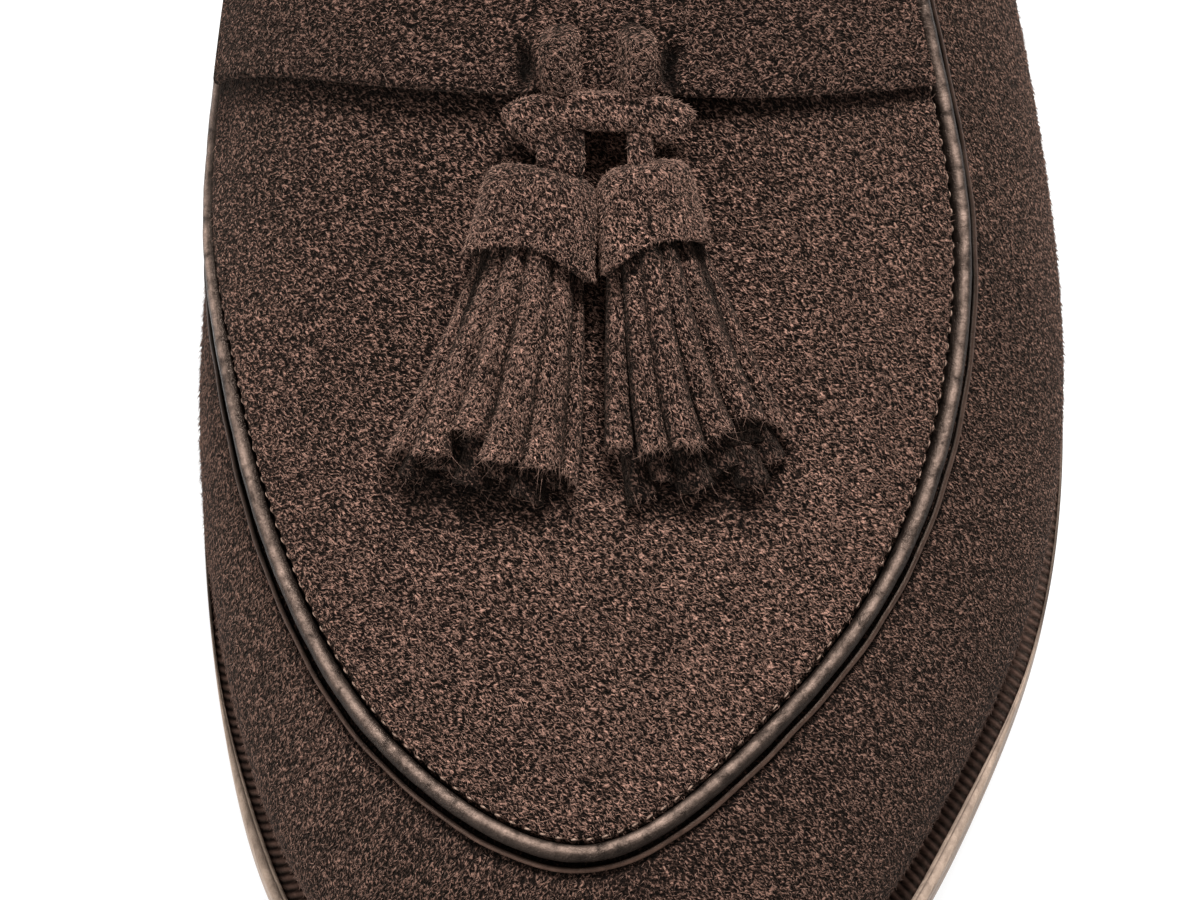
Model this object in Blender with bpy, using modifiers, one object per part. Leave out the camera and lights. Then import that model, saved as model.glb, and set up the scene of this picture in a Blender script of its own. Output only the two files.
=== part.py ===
"""A tassel loafer for the left foot, standing empty on its sole.

Units are metres. +Z is up, the toe points to -Y and the outer, lateral side of the shoe is +X.
Every curved piece follows one last, which is a height over the ground plan:
a plan outline of its widest line, a ridge seen from the side, and an arch across between them.
Below the widest line the upper turns in to the welt. Pieces that meet keep GAP between them.
"""

import math

import bmesh
import bpy
import numpy as np
from mathutils import Vector

# Driving sizes

UPPER_LENGTH = 0.2925
BALL_WIDTH = 0.105
HEEL_HEIGHT = 0.0249
TOE_SPRING = 0.0084
CROWN_RISE = 0.0555
SIDE_HEIGHT = 0.0205
FEATHER_TUCK = 0.009
COLLAR_HEIGHT = 0.0545

OUTSOLE_THICKNESS = 0.005
OUTSOLE_CHAMFER = 0.0006
WELT_THICKNESS = 0.003
WELT_REACH = 0.0038
WELT_INSIDE = 0.0072
INSOLE_THICKNESS = 0.0025
INSOLE_CLEARANCE = 0.003
UPPER_WALL = 0.0018
LASTING_MARGIN = 0.008

HEEL_LENGTH = 0.071
HEEL_TAPER = 0.0016
HEEL_BREAST_HOLLOW = 0.004
TOP_LIFT_THICKNESS = 0.006
HEEL_LIFTS = 3

APRON_THICKNESS = 0.0012
PIPING_RADIUS = 0.001
BINDING_RADIUS = 0.0011
BACK_STRIP_WIDTH = 0.016
BACK_STRIP_THICKNESS = 0.001

TONGUE_LENGTH = 0.0235
TONGUE_CORNER = 0.3
STRAP_WIDTH = 0.0245
STRAP_END_WIDTH = 0.0150
STRAP_SWEEP = 0.0065
STRAP_THICKNESS = 0.0014
STRAP_STANDOFF = 0.0022

THONG_WIDTH = 0.0062
THONG_THICKNESS = 0.0014
THONG_REACH = 0.0085
THONG_ARCH = 0.0024
KNOT_WIDTH = 0.0228
KNOT_DEPTH = 0.0052
KNOT_HEIGHT = 0.0038

TASSEL_LENGTH = 0.0385
TASSEL_SPREAD = 0.0215
CAP_WIDTH = 0.0142
CAP_HEIGHT = 0.0086
STRIP_WIDTH = 0.0032
STRIP_THICKNESS = 0.0014
STRIPS = 7

GAP = 0.0003
SHEET_GAP = 0.00045

# Shares: how much of the tuck the insole follows, and of BALL_WIDTH half the strap spans

INSOLE_TUCK = 0.75
STRAP_HALF_SPAN = 0.38

# Where pieces lie along the shoe, as shares of UPPER_LENGTH from the heel back to the toe tip

FOOT_CENTRE_ALONG = 0.31
STRAP_FRONT_ALONG = 0.6375
APRON_MIDDLE_ALONG = 0.73
BINDING_FRONT_ALONG = 0.455
APRON_REAR_ALONG = 0.565

# The last's tables. Rows run from heel to toe

# Widest line: medial and lateral reach from the centre line, as shares of BALL_WIDTH
OUTLINE = [
    # along, medial, lateral
    (0.030, 0.208, 0.208),
    (0.095, 0.296, 0.298),
    (0.190, 0.325, 0.337),
    (0.300, 0.320, 0.360),
    (0.400, 0.330, 0.400),
    (0.480, 0.374, 0.447),
    (0.560, 0.424, 0.495),
    (0.640, 0.452, 0.530),
    (0.720, 0.463, 0.536),
    (0.800, 0.443, 0.497),
    (0.870, 0.398, 0.415),
    (0.930, 0.326, 0.320),
    (0.975, 0.210, 0.205),
]

# Underside of the sole: heel share of HEEL_HEIGHT plus toe share of TOE_SPRING.
# Below zero the floor cuts it off, which makes the flat tread
SOLE_RISE = [
    # along, heel, toe
    (0.00, 1.000, 0.00),
    (0.12, 0.964, 0.00),
    (0.24, 0.880, 0.00),
    (0.36, 0.655, 0.00),
    (0.48, 0.310, 0.00),
    (0.58, 0.070, 0.00),
    (0.65, -0.008, 0.00),
    (0.70, -0.010, -0.02),
    (0.75, 0.000, -0.01),
    (0.84, 0.000, 0.21),
    (0.93, 0.000, 0.60),
    (1.00, 0.000, 1.00),
    (1.02, 0.000, 1.12),
]

# Side of the upper: height of the widest line over the welt as a share of SIDE_HEIGHT,
# how far the upper turns in below it as shares of FEATHER_TUCK,
# and how far the sole's edge stands out from the widest line as shares of WELT_REACH
SIDE = [
    # along, height, tuck_medial, tuck_lateral, edge_medial, edge_lateral
    (0.00, 0.98, 0.36, 0.36, 0.20, 0.20),
    (0.12, 1.00, 0.38, 0.38, 0.15, 0.15),
    (0.24, 1.00, 0.56, 0.47, 0.00, 0.05),
    (0.36, 1.00, 0.94, 0.56, -0.95, -0.30),
    (0.48, 0.88, 1.00, 0.56, -1.05, -0.35),
    (0.58, 0.71, 0.67, 0.51, -0.30, 0.00),
    (0.66, 0.61, 0.51, 0.49, 0.05, 0.20),
    (0.74, 0.56, 0.47, 0.47, 0.15, 0.30),
    (0.84, 0.49, 0.42, 0.42, 0.45, 0.60),
    (0.93, 0.41, 0.38, 0.38, 0.85, 0.90),
    (1.00, 0.34, 0.33, 0.33, 1.00, 1.00),
]

# Ridge of the last over its widest line, as shares of CROWN_RISE
RIDGE = [
    # along, rise
    (0.0000, 0.000),
    (0.0031, 0.297),
    (0.0109, 0.586),
    (0.0222, 0.730),
    (0.0462, 0.848),
    (0.0940, 0.950),
    (0.1730, 1.001),
    (0.2920, 1.014),
    (0.3950, 1.004),
    (0.4770, 0.962),
    (0.5380, 0.894),
    (0.6000, 0.795),
    (0.6680, 0.676),
    (0.7370, 0.560),
    (0.8050, 0.463),
    (0.8740, 0.373),
    (0.9390, 0.279),
    (0.9780, 0.188),
    (0.9950, 0.098),
    (1.0000, 0.000),
]

# Cross sections: the ridge's shift as a share of BALL_WIDTH towards the lateral side,
# and the arch's two handles on each side, which stand for an upright wall and a flat top
SECTIONS = [
    # along, shift, wall_medial, top_medial, wall_lateral, top_lateral
    (0.00, 0.000, 0.80, 0.55, 0.80, 0.55),
    (0.15, 0.000, 0.85, 0.50, 0.85, 0.50),
    (0.35, -0.028, 0.82, 0.48, 0.70, 0.45),
    (0.50, -0.047, 0.84, 0.60, 0.55, 0.50),
    (0.62, -0.047, 0.76, 0.68, 0.50, 0.55),
    (0.75, -0.038, 0.62, 0.58, 0.52, 0.56),
    (0.88, -0.019, 0.56, 0.56, 0.56, 0.56),
    (1.00, 0.000, 0.55, 0.55, 0.55, 0.55),
]

# Collar seen from the side: height over the welt as a share of COLLAR_HEIGHT
TOPLINE = [
    # along, height
    (0.00, 1.000),
    (0.06, 0.960),
    (0.17, 0.826),
    (0.29, 0.894),
    (0.40, 1.030),
    (0.50, 1.198),
    (0.56, 1.290),
]

# Seam of the apron: medial and lateral reach as shares of BALL_WIDTH, rear to tip
APRON_SEAM = [
    # along, medial, lateral
    (0.500, 0.335, 0.282),
    (0.540, 0.382, 0.318),
    (0.600, 0.418, 0.364),
    (0.660, 0.432, 0.399),
    (0.720, 0.412, 0.396),
    (0.780, 0.374, 0.357),
    (0.830, 0.322, 0.290),
    (0.870, 0.258, 0.205),
    (0.900, 0.180, 0.124),
    (0.918, 0.110, 0.060),
]
APRON_TIP = (0.9275, -0.011)

# Tassels: neck and foot from the centre line as shares of BALL_WIDTH, image left first
TASSELS = [
    # name, neck, foot
    ("medial", -0.060, -0.133),
    ("lateral", 0.048, 0.118),
]

# Cap of a tassel along its length: half width of CAP_WIDTH, height of CAP_HEIGHT
CAP = [
    # along, width, height
    (0.045, 0.30, 0.55),
    (0.060, 0.66, 0.80),
    (0.090, 0.86, 0.95),
    (0.150, 0.93, 1.00),
    (0.270, 0.97, 1.00),
    (0.350, 1.06, 1.00),
]

# Core under the strips: half width of TASSEL_SPREAD, height of CAP_HEIGHT
CORE = [
    # along, width, height
    (0.200, 0.44, 0.72),
    (0.400, 0.54, 0.66),
    (0.650, 0.66, 0.56),
    (0.925, 0.78, 0.46),
]

# Ends of the strips, shares of TASSEL_LENGTH from the outer strip to the inner one
STRIP_ENDS = [0.93, 0.97, 0.925, 0.955, 0.985, 1.00, 0.99]

OUTLINE_COLUMNS = 64
TOP_ROWS = 12
SKIRT_ROWS = 3
PLATE_STATIONS = 30
APRON_RINGS = (1.0, 0.93, 0.83, 0.71, 0.57, 0.41, 0.22)
APRON_RIM_POINTS = 36
ROW_CROWDING = 1.25
BINDING_POINTS = 76
PIPING_POINTS = 56


# Smooth curves through table rows


def smooth(stops, values, closed=False, start=None, end=None):
    """Give the twice smooth curve through values at stops, with end slopes where given."""
    stops = np.asarray(stops, float)
    values = np.asarray(values, float)
    count = len(stops)
    steps = np.diff(stops)
    slopes = np.diff(values, axis=0) / steps[:, None]
    matrix = np.zeros((count, count))
    right = np.zeros((count, values.shape[1]))
    for i in range(1, count - 1):
        matrix[i, i - 1] = 1 / steps[i - 1]
        matrix[i, i] = 2 / steps[i - 1] + 2 / steps[i]
        matrix[i, i + 1] = 1 / steps[i]
        right[i] = 3 * (slopes[i - 1] / steps[i - 1] + slopes[i] / steps[i])
    if closed:
        matrix[0, 0] = 2 / steps[0] + 2 / steps[-1]
        matrix[0, 1] = 1 / steps[0]
        matrix[0, -2] = 1 / steps[-1]
        right[0] = 3 * (slopes[0] / steps[0] + slopes[-1] / steps[-1])
        matrix[-1, 0], matrix[-1, -1] = 1, -1
    else:
        matrix[0, 0] = 1 if start is not None else 2 / steps[0]
        matrix[-1, -1] = 1 if end is not None else 2 / steps[-1]
        right[0] = start if start is not None else 3 * slopes[0] / steps[0]
        right[-1] = end if end is not None else 3 * slopes[-1] / steps[-1]
        if start is None:
            matrix[0, 1] = 1 / steps[0]
        if end is None:
            matrix[-1, -2] = 1 / steps[-1]
    tangents = np.linalg.solve(matrix, right)

    def curve(at):
        at = np.clip(np.asarray(at, float), stops[0], stops[-1])
        i = np.clip(np.searchsorted(stops, at, side="right") - 1, 0, count - 2)
        step = steps[i][..., None]
        u = ((at - stops[i]) / steps[i])[..., None]
        rest = 1 - u
        points = values[i] * (1 + 2 * u) * rest**2 + values[i + 1] * u**2 * (3 - 2 * u)
        return points + tangents[i] * step * u * rest**2 - tangents[i + 1] * step * u**2 * rest

    return curve


def chords(points):
    """Give the distance run at each point of a polyline."""
    return np.concatenate([[0], np.cumsum(np.linalg.norm(np.diff(points, axis=0), axis=1))])


def along_to_y(along):
    return UPPER_LENGTH * (0.5 - np.asarray(along, float))


def y_to_along(y):
    return 0.5 - np.asarray(y, float) / UPPER_LENGTH


def column(table, place):
    """Give one column of a table as a function of y."""
    curve = smooth([row[0] for row in table], [[row[place]] for row in table])
    return lambda y: curve(y_to_along(y))[..., 0]


# The last

HEEL_SHARE, TOE_SHARE = column(SOLE_RISE, 1), column(SOLE_RISE, 2)
SIDE_SHARE = column(SIDE, 1)
TOPLINE_SHARE = column(TOPLINE, 1)
SHIFT = column(SECTIONS, 1)
WALL_HANDLES = column(SECTIONS, 2), column(SECTIONS, 4)
TOP_HANDLES = column(SECTIONS, 3), column(SECTIONS, 5)


def sole_rise(y):
    """Height of the sole's underside over the floor."""
    return np.maximum(HEEL_HEIGHT * HEEL_SHARE(y) + TOE_SPRING * TOE_SHARE(y), 0)


def feather_height(y):
    """Height of the line where the upper meets the welt."""
    return sole_rise(y) + OUTSOLE_THICKNESS + GAP + WELT_THICKNESS + GAP


def side_height(y):
    return SIDE_HEIGHT * SIDE_SHARE(y)


def collar_height(y):
    return feather_height(y) + COLLAR_HEIGHT * TOPLINE_SHARE(y)


def widest_line():
    """Sample the widest line by even steps, from the heel back down the medial side."""
    medial = [(-row[1] * BALL_WIDTH, along_to_y(row[0])) for row in OUTLINE]
    lateral = [(row[2] * BALL_WIDTH, along_to_y(row[0])) for row in reversed(OUTLINE)]
    heel = (0.0, along_to_y(0))
    points = np.array([heel] + medial + [(0.0, along_to_y(1))] + lateral + [heel])
    stops = chords(points)
    fine = smooth(stops, points, closed=True)(np.linspace(0, stops[-1], 4001))
    run = chords(fine)
    even = np.linspace(0, run[-1], 2001)
    return np.stack([np.interp(even, run, fine[:, 0]), np.interp(even, run, fine[:, 1])], axis=-1)


WIDEST = widest_line()
TOE_AT = int(np.argmin(WIDEST[:, 1]))


def widest_point(share):
    """Give a point of the widest line and its outward direction, by share of the way round."""
    place = np.mod(np.asarray(share, float), 1) * (len(WIDEST) - 1)
    steps = np.arange(len(WIDEST))

    def point(at):
        at = np.mod(at, len(WIDEST) - 1)
        return np.stack([np.interp(at, steps, WIDEST[:, i]) for i in (0, 1)], axis=-1)

    ahead = point(place + 4) - point(place - 4)
    outward = np.stack([ahead[..., 1], -ahead[..., 0]], axis=-1)
    return point(place), outward / np.linalg.norm(outward, axis=-1, keepdims=True)


def two_sided(y, x, table, place):
    """Blend a medial and a lateral column of a table by the side that x is on."""
    lateral = 0.5 + 0.5 * np.tanh(x / (0.1 * BALL_WIDTH))
    medial_value, lateral_value = column(table, place)(y), column(table, place + 1)(y)
    return medial_value * (1 - lateral) + lateral_value * lateral


def offset_loop(share, distance):
    """Offset the widest line outwards by a distance that may vary round it."""
    point, outward = widest_point(share)
    return point + outward * np.asarray(distance)[..., None]


def tuck(share):
    point, _ = widest_point(share)
    return FEATHER_TUCK * two_sided(point[..., 1], point[..., 0], SIDE, 2)


def edge(share):
    point, _ = widest_point(share)
    return WELT_REACH * two_sided(point[..., 1], point[..., 0], SIDE, 4)


def reach(y, lateral):
    """Signed x of the widest line at y, on the lateral or the medial side."""
    medial_x = np.interp(y, WIDEST[TOE_AT::-1, 1], WIDEST[TOE_AT::-1, 0])
    lateral_x = np.interp(y, WIDEST[TOE_AT:, 1], WIDEST[TOE_AT:, 0])
    return np.where(lateral, lateral_x, medial_x)


def ridge_samples():
    points = np.array([(along_to_y(row[0]), row[1] * CROWN_RISE) for row in reversed(RIDGE)])
    stops = chords(points)
    fine = smooth(stops, points, start=(0, 1), end=(0, -1))(np.linspace(0, stops[-1], 3000))
    return np.maximum.accumulate(fine[:, 0]), fine[:, 1]


RIDGE_Y, RIDGE_RISE = ridge_samples()


def arch(out, wall, top):
    """Height share of a quarter arch at a share out from the ridge to the widest line."""
    low, high = np.zeros_like(out), np.ones_like(out)
    for _ in range(36):
        t = (low + high) / 2
        x = (1 - t) ** 3 + 3 * (1 - t) ** 2 * t + 3 * (1 - t) * t**2 * top
        low, high = np.where(x > out, t, low), np.where(x > out, high, t)
    return 3 * (1 - low) ** 2 * low * wall + 3 * (1 - low) * low**2 + low**3


def last_height(x, y):
    """Height of the last's outer surface above the widest line."""
    x, y = np.broadcast_arrays(np.asarray(x, float), np.asarray(y, float))
    crest = SHIFT(y) * BALL_WIDTH
    lateral = x > crest
    width = np.maximum(np.abs(reach(y, lateral) - crest), GAP)
    out = np.clip(np.abs(x - crest) / width, 0, 1)
    wall = np.where(lateral, WALL_HANDLES[1](y), WALL_HANDLES[0](y))
    top = np.where(lateral, TOP_HANDLES[1](y), TOP_HANDLES[0](y))
    rise = np.interp(y, RIDGE_Y, RIDGE_RISE)
    return feather_height(y) + side_height(y) + rise * arch(out, wall, top)


def on_last(x, y, lift):
    """Give the point a lift off the last's surface, along its normal, over a plan position."""
    step = 0.0004
    z = last_height(x, y)
    slope_x = (last_height(x + step, y) - last_height(x - step, y)) / (2 * step)
    slope_y = (last_height(x, y + step) - last_height(x, y - step)) / (2 * step)
    normal = np.stack([-slope_x, -slope_y, np.ones_like(z)], axis=-1)
    normal /= np.linalg.norm(normal, axis=-1, keepdims=True)
    return np.stack([x + 0 * z, y + 0 * z, z], axis=-1) + normal * np.asarray(lift)[..., None]


# The shell of the upper: share runs round it, level from -1 at the welt over 0 to 1 at the collar

FOOT_CENTRE = np.array([0.0, along_to_y(FOOT_CENTRE_ALONG)])


def collar_share(share):
    """Find where the ray from the foot's centre to the widest line crosses the collar."""
    wide, _ = widest_point(share)
    low, high = np.full(wide.shape[:-1], 0.1), np.ones(wide.shape[:-1])
    for _ in range(36):
        middle = (low + high) / 2
        plan = FOOT_CENTRE + (wide - FOOT_CENTRE) * middle[..., None]
        above = last_height(plan[..., 0], plan[..., 1]) > collar_height(plan[..., 1])
        low, high = np.where(above, middle, low), np.where(above, high, middle)
    return low


def shell(share, level):
    """Point on the upper's outer surface."""
    share, level = np.broadcast_arrays(np.asarray(share, float), np.asarray(level, float))
    wide, outward = widest_point(share)
    rim = collar_share(share)
    on_ray = 1 + (rim - 1) * np.clip(level, 0, 1) ** ROW_CROWDING
    upper_plan = FOOT_CENTRE + (wide - FOOT_CENTRE) * on_ray[..., None]
    upper_z = last_height(upper_plan[..., 0], upper_plan[..., 1])
    turn = np.clip(-level, 0, 1) * math.pi / 2
    skirt_plan = wide - outward * (tuck(share) * (1 - np.cos(turn)))[..., None]
    skirt_z = feather_height(skirt_plan[..., 1]) + side_height(wide[..., 1]) * (1 - np.sin(turn))
    below = level < 0
    plan = np.where(below[..., None], skirt_plan, upper_plan)
    return np.concatenate([plan, np.where(below, skirt_z, upper_z)[..., None]], axis=-1)


def shell_normal(share, level):
    step = 0.002
    round_it = shell(share + step, level) - shell(share - step, level)
    level = np.clip(level, -1 + step, 1 - step)
    up_it = shell(share, level + step) - shell(share, level - step)
    normal = np.cross(round_it, up_it)
    return normal / np.linalg.norm(normal, axis=-1, keepdims=True)


# Making objects


def clear_scene():
    for old in list(bpy.data.objects):
        bpy.data.objects.remove(old, do_unlink=True)


def new_collection(name):
    collection = bpy.data.collections.new(name)
    bpy.context.scene.collection.children.link(collection)
    return collection


def material(name, colour, roughness):
    made = bpy.data.materials.new(name)
    made.use_nodes = True
    shader = made.node_tree.nodes["Principled BSDF"]
    shader.inputs["Base Color"].default_value = (*colour, 1)
    shader.inputs["Roughness"].default_value = roughness
    shader.inputs["Metallic"].default_value = 0
    made.diffuse_color = (*colour, 1)
    return made


def add_object(name, data, finish, collection):
    made = bpy.data.objects.new(name, data)
    made.location = FRAME_SHIFT
    data.materials.append(finish)
    collection.objects.link(made)
    return made


def mesh_from(name, points, faces):
    """Make a mesh whose faces point out, where the faces close it."""
    mesh = bpy.data.meshes.new(name)
    mesh.from_pydata([tuple(point) for point in points], [], faces)
    work = bmesh.new()
    work.from_mesh(mesh)
    bmesh.ops.recalc_face_normals(work, faces=work.faces)
    work.to_mesh(mesh)
    work.free()
    mesh.shade_smooth()
    mesh.set_sharp_from_angle(angle=math.radians(38))
    return mesh


def grid_faces(rows, columns, closed):
    """Quads over rows of points, wrapping round the columns where closed."""
    faces = []
    for row in range(rows - 1):
        for col in range(columns if closed else columns - 1):
            after = (col + 1) % columns
            here = row * columns
            faces.append((here + col, here + after, here + columns + after, here + columns + col))
    return faces


def loft(name, sections):
    """Close a run of equal point rings with a face at each end."""
    sections = np.asarray(sections)
    count, ring, _ = sections.shape
    faces = grid_faces(count, ring, closed=True)
    faces.append(tuple(range(ring)))
    faces.append(tuple(range((count - 1) * ring, count * ring)))
    return mesh_from(name, sections.reshape(-1, 3), faces)


def ring_loft(name, sections):
    """Close a run of equal point rings on itself."""
    sections = np.asarray(sections)
    count, ring, _ = sections.shape
    closed_run = np.concatenate([sections, sections[:1]])
    faces = [
        tuple(corner % (count * ring) for corner in face)
        for face in grid_faces(count + 1, ring, closed=True)
    ]
    return mesh_from(name, closed_run[:count].reshape(-1, 3), faces)


def thicken(target, thickness, offset):
    """Give an open sheet its thickness, with offset -1 inwards and 1 outwards."""
    solid = target.modifiers.new("thickness", "SOLIDIFY")
    solid.thickness = thickness
    solid.offset = offset
    solid.use_even_offset = True
    solid.use_quality_normals = True


def sheet_object(name, points, faces, thickness, offset, finish, collection):
    """Make an open sheet that faces away from the shoe's inside, and thicken it."""
    mesh = bpy.data.meshes.new(name)
    mesh.from_pydata([tuple(point) for point in points], [], faces)
    work = bmesh.new()
    work.from_mesh(mesh)
    bmesh.ops.recalc_face_normals(work, faces=work.faces)
    middle_y = np.clip(np.mean([point[1] for point in points]), along_to_y(0.9), along_to_y(0.1))
    inside = Vector((0, middle_y, SIDE_HEIGHT))
    facing = sum(face.calc_area() * face.normal.dot(face.calc_center_median() - inside)
                 for face in work.faces)
    if facing < 0:
        bmesh.ops.reverse_faces(work, faces=work.faces)
    work.to_mesh(mesh)
    work.free()
    mesh.shade_smooth()
    made = add_object(name, mesh, finish, collection)
    thicken(made, thickness, offset)
    return made


def tube(name, points, radius, closed, finish, collection):
    """Make a round bead along points."""
    curve = bpy.data.curves.new(name, "CURVE")
    curve.dimensions = "3D"
    curve.bevel_depth = radius
    curve.bevel_resolution = 1
    curve.use_fill_caps = True
    spline = curve.splines.new("POLY")
    spline.points.add(len(points) - 1)
    for target, point in zip(spline.points, points):
        target.co = (*point, 1)
    spline.use_cyclic_u = closed
    return add_object(name, curve, finish, collection)


# Sole and heel


def sides_of(loop):
    """Give the y range of a plan loop and its medial and lateral x as functions of y."""
    toe = int(np.argmin(loop[:, 1]))
    medial, lateral = loop[toe::-1], loop[toe:]
    back = min(medial[-1, 1], lateral[-1, 1])

    def left(y):
        return np.interp(y, medial[:, 1], medial[:, 0])

    def right(y):
        return np.interp(y, lateral[:, 1], lateral[:, 0])

    return loop[toe, 1], back, left, right


LOOP_SHARES = np.linspace(0, 1, 721)
SOLE_EDGE = offset_loop(LOOP_SHARES, edge(LOOP_SHARES))
BACK_END = WIDEST[0, 1] + SHEET_GAP + BACK_STRIP_THICKNESS
FRAME_SHIFT = (
    -(SOLE_EDGE[:, 0].max() + SOLE_EDGE[:, 0].min()) / 2,
    -(max(SOLE_EDGE[:, 1].max(), BACK_END) + SOLE_EDGE[:, 1].min()) / 2,
    0.0,
)


def stations(low, high, count):
    """Places from low to high, closer together towards both ends and just short of them."""
    swing = np.cos(np.linspace(0.03, math.pi - 0.03, count))
    return (low + high) / 2 - (high - low) / 2 * swing


def outsole(finish, collection):
    front, back, left, right = sides_of(SOLE_EDGE)
    sections = []
    for y in stations(front, back, PLATE_STATIONS):
        low = float(sole_rise(y))
        high = low + OUTSOLE_THICKNESS
        medial, lateral = left(y), right(y)
        sections.append([
            (medial + OUTSOLE_CHAMFER, y, low),
            (lateral - OUTSOLE_CHAMFER, y, low),
            (lateral, y, low + OUTSOLE_CHAMFER),
            (lateral, y, high),
            (medial, y, high),
            (medial, y, low + OUTSOLE_CHAMFER),
        ])
    add_object("outsole", loft("outsole", sections), finish, collection)


def welt(finish, collection):
    shares = np.arange(OUTLINE_COLUMNS) / OUTLINE_COLUMNS
    outer = offset_loop(shares, edge(shares))
    inner = offset_loop(shares, -tuck(shares) - WELT_INSIDE)
    sections = []
    for out, inn in zip(outer, inner):
        section = []
        for plan, top in ((out, 0), (out, 1), (inn, 1), (inn, 0)):
            low = float(sole_rise(plan[1])) + OUTSOLE_THICKNESS + GAP
            section.append((plan[0], plan[1], low + top * WELT_THICKNESS))
        sections.append(section)
    add_object("welt", ring_loft("welt", sections), finish, collection)


def insole(finish, collection):
    """One plate on the lasting margin, with its lower step filling the welt's ring."""
    inset_low = -tuck(LOOP_SHARES) - LASTING_MARGIN - 2 * GAP
    inset_high = -INSOLE_TUCK * tuck(LOOP_SHARES) - INSOLE_CLEARANCE
    front_low, back_low, left_low, right_low = sides_of(offset_loop(LOOP_SHARES, inset_low))
    front, back, left, right = sides_of(offset_loop(LOOP_SHARES, inset_high))
    sections = []
    low_stations = stations(front_low, back_low, PLATE_STATIONS)
    for y_low, y in zip(low_stations, stations(front, back, PLATE_STATIONS)):
        bottom = float(sole_rise(y_low)) + OUTSOLE_THICKNESS + GAP
        step_low = float(feather_height(y_low)) + UPPER_WALL + GAP
        step = float(feather_height(y)) + UPPER_WALL + GAP
        top = step + INSOLE_THICKNESS
        sections.append([
            (left_low(y_low), y_low, bottom),
            (right_low(y_low), y_low, bottom),
            (right_low(y_low), y_low, step_low),
            (right(y), y, step),
            (right(y), y, top),
            (left(y), y, top),
            (left(y), y, step),
            (left_low(y_low), y_low, step_low),
        ])
    add_object("insole", loft("insole", sections), finish, collection)


def heel_slab(name, low, high, finish, collection):
    """One layer of the heel, from its hollow breast to its round back."""
    front, back, left, right = sides_of(SOLE_EDGE)
    breast = back - HEEL_LENGTH
    across = np.linspace(-1, 1, 5)
    sections = []
    for s in np.sin(np.linspace(0, 1, 10) * math.pi / 2):
        rings = []
        for surface in (low, high):
            ring = []
            for side in across:
                inset = HEEL_TAPER * (1 - surface(back) / HEEL_HEIGHT) + OUTSOLE_CHAMFER
                y_back = back - inset - GAP
                y = breast + (y_back - breast) * s
                medial, lateral = left(y + inset) + inset, right(y + inset) - inset
                x = (medial + lateral) / 2 + (lateral - medial) / 2 * side
                bent = y + HEEL_BREAST_HOLLOW * (1 - s) ** 3 * (1 - side**2)
                ring.append((x, bent, surface(bent)))
            rings.append(ring)
        sections.append(rings[0] + rings[1][::-1])
    add_object(name, loft(name, sections), finish, collection)


def heel(leather, rubber, collection):
    """Stack the lifts between the sole's slope and the floor."""
    heel_slab("top_lift", lambda y: 0.0, lambda y: TOP_LIFT_THICKNESS, rubber, collection)
    breast_height = float(sole_rise(SOLE_EDGE[0, 1] - HEEL_LENGTH))
    lift = (breast_height - TOP_LIFT_THICKNESS) / HEEL_LIFTS
    for number in range(HEEL_LIFTS):
        low = TOP_LIFT_THICKNESS + number * lift + GAP
        last_one = number == HEEL_LIFTS - 1
        flat = low + lift - GAP

        def top(y, last_one=last_one, flat=flat):
            return float(sole_rise(y)) - GAP if last_one else flat

        name = f"heel_lift_{HEEL_LIFTS - number}"
        heel_slab(name, lambda y, low=low: low, top, leather, collection)


# Upper and what lies on it


def upper(finish, collection):
    """The whole wall: collar to widest line, skirt to the welt, lasting margin turned in."""
    shares = np.arange(OUTLINE_COLUMNS) / OUTLINE_COLUMNS
    top_levels = 1 - np.linspace(0, 1, TOP_ROWS + 1)
    levels = np.concatenate([top_levels, -np.arange(1, SKIRT_ROWS + 1) / SKIRT_ROWS])
    rows = [shell(shares, np.full_like(shares, level)) for level in levels]
    margin = offset_loop(shares, -tuck(shares) - LASTING_MARGIN)
    rows.append(np.concatenate([margin, feather_height(margin[:, 1])[:, None]], axis=1))
    faces = grid_faces(len(rows), OUTLINE_COLUMNS, closed=True)
    points = np.concatenate(rows)
    sheet_object("upper", points, faces, UPPER_WALL, -1, finish, collection)


def seam_curve(inset):
    """Plan of the apron's seam, from its medial rear round the tip to its lateral rear."""
    medial = [(-row[1] * BALL_WIDTH, along_to_y(row[0])) for row in APRON_SEAM]
    lateral = [(row[2] * BALL_WIDTH, along_to_y(row[0])) for row in reversed(APRON_SEAM)]
    tip = (APRON_TIP[1] * BALL_WIDTH, along_to_y(APRON_TIP[0]))
    points = np.array(medial + [tip] + lateral)
    stops = chords(points)
    fine = smooth(stops, points)(np.linspace(0, stops[-1], 1601))
    ahead = np.gradient(fine, axis=0)
    inward = np.stack([-ahead[:, 1], ahead[:, 0]], axis=1)
    return fine + inward / np.linalg.norm(inward, axis=1, keepdims=True) * inset


APRON_INSET = PIPING_RADIUS + GAP


def seam_side(y, lateral, inset):
    """X of the seam at y on one side."""
    seam = seam_curve(inset)
    tip = int(np.argmin(seam[:, 1]))
    part = seam[tip:] if lateral else seam[tip::-1]
    return np.interp(y, part[:, 1], part[:, 0])


def crowded(count):
    """Places from -1 to 1 that crowd towards both ends."""
    return np.sin(np.linspace(-1, 1, count) * math.pi / 2)


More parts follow.
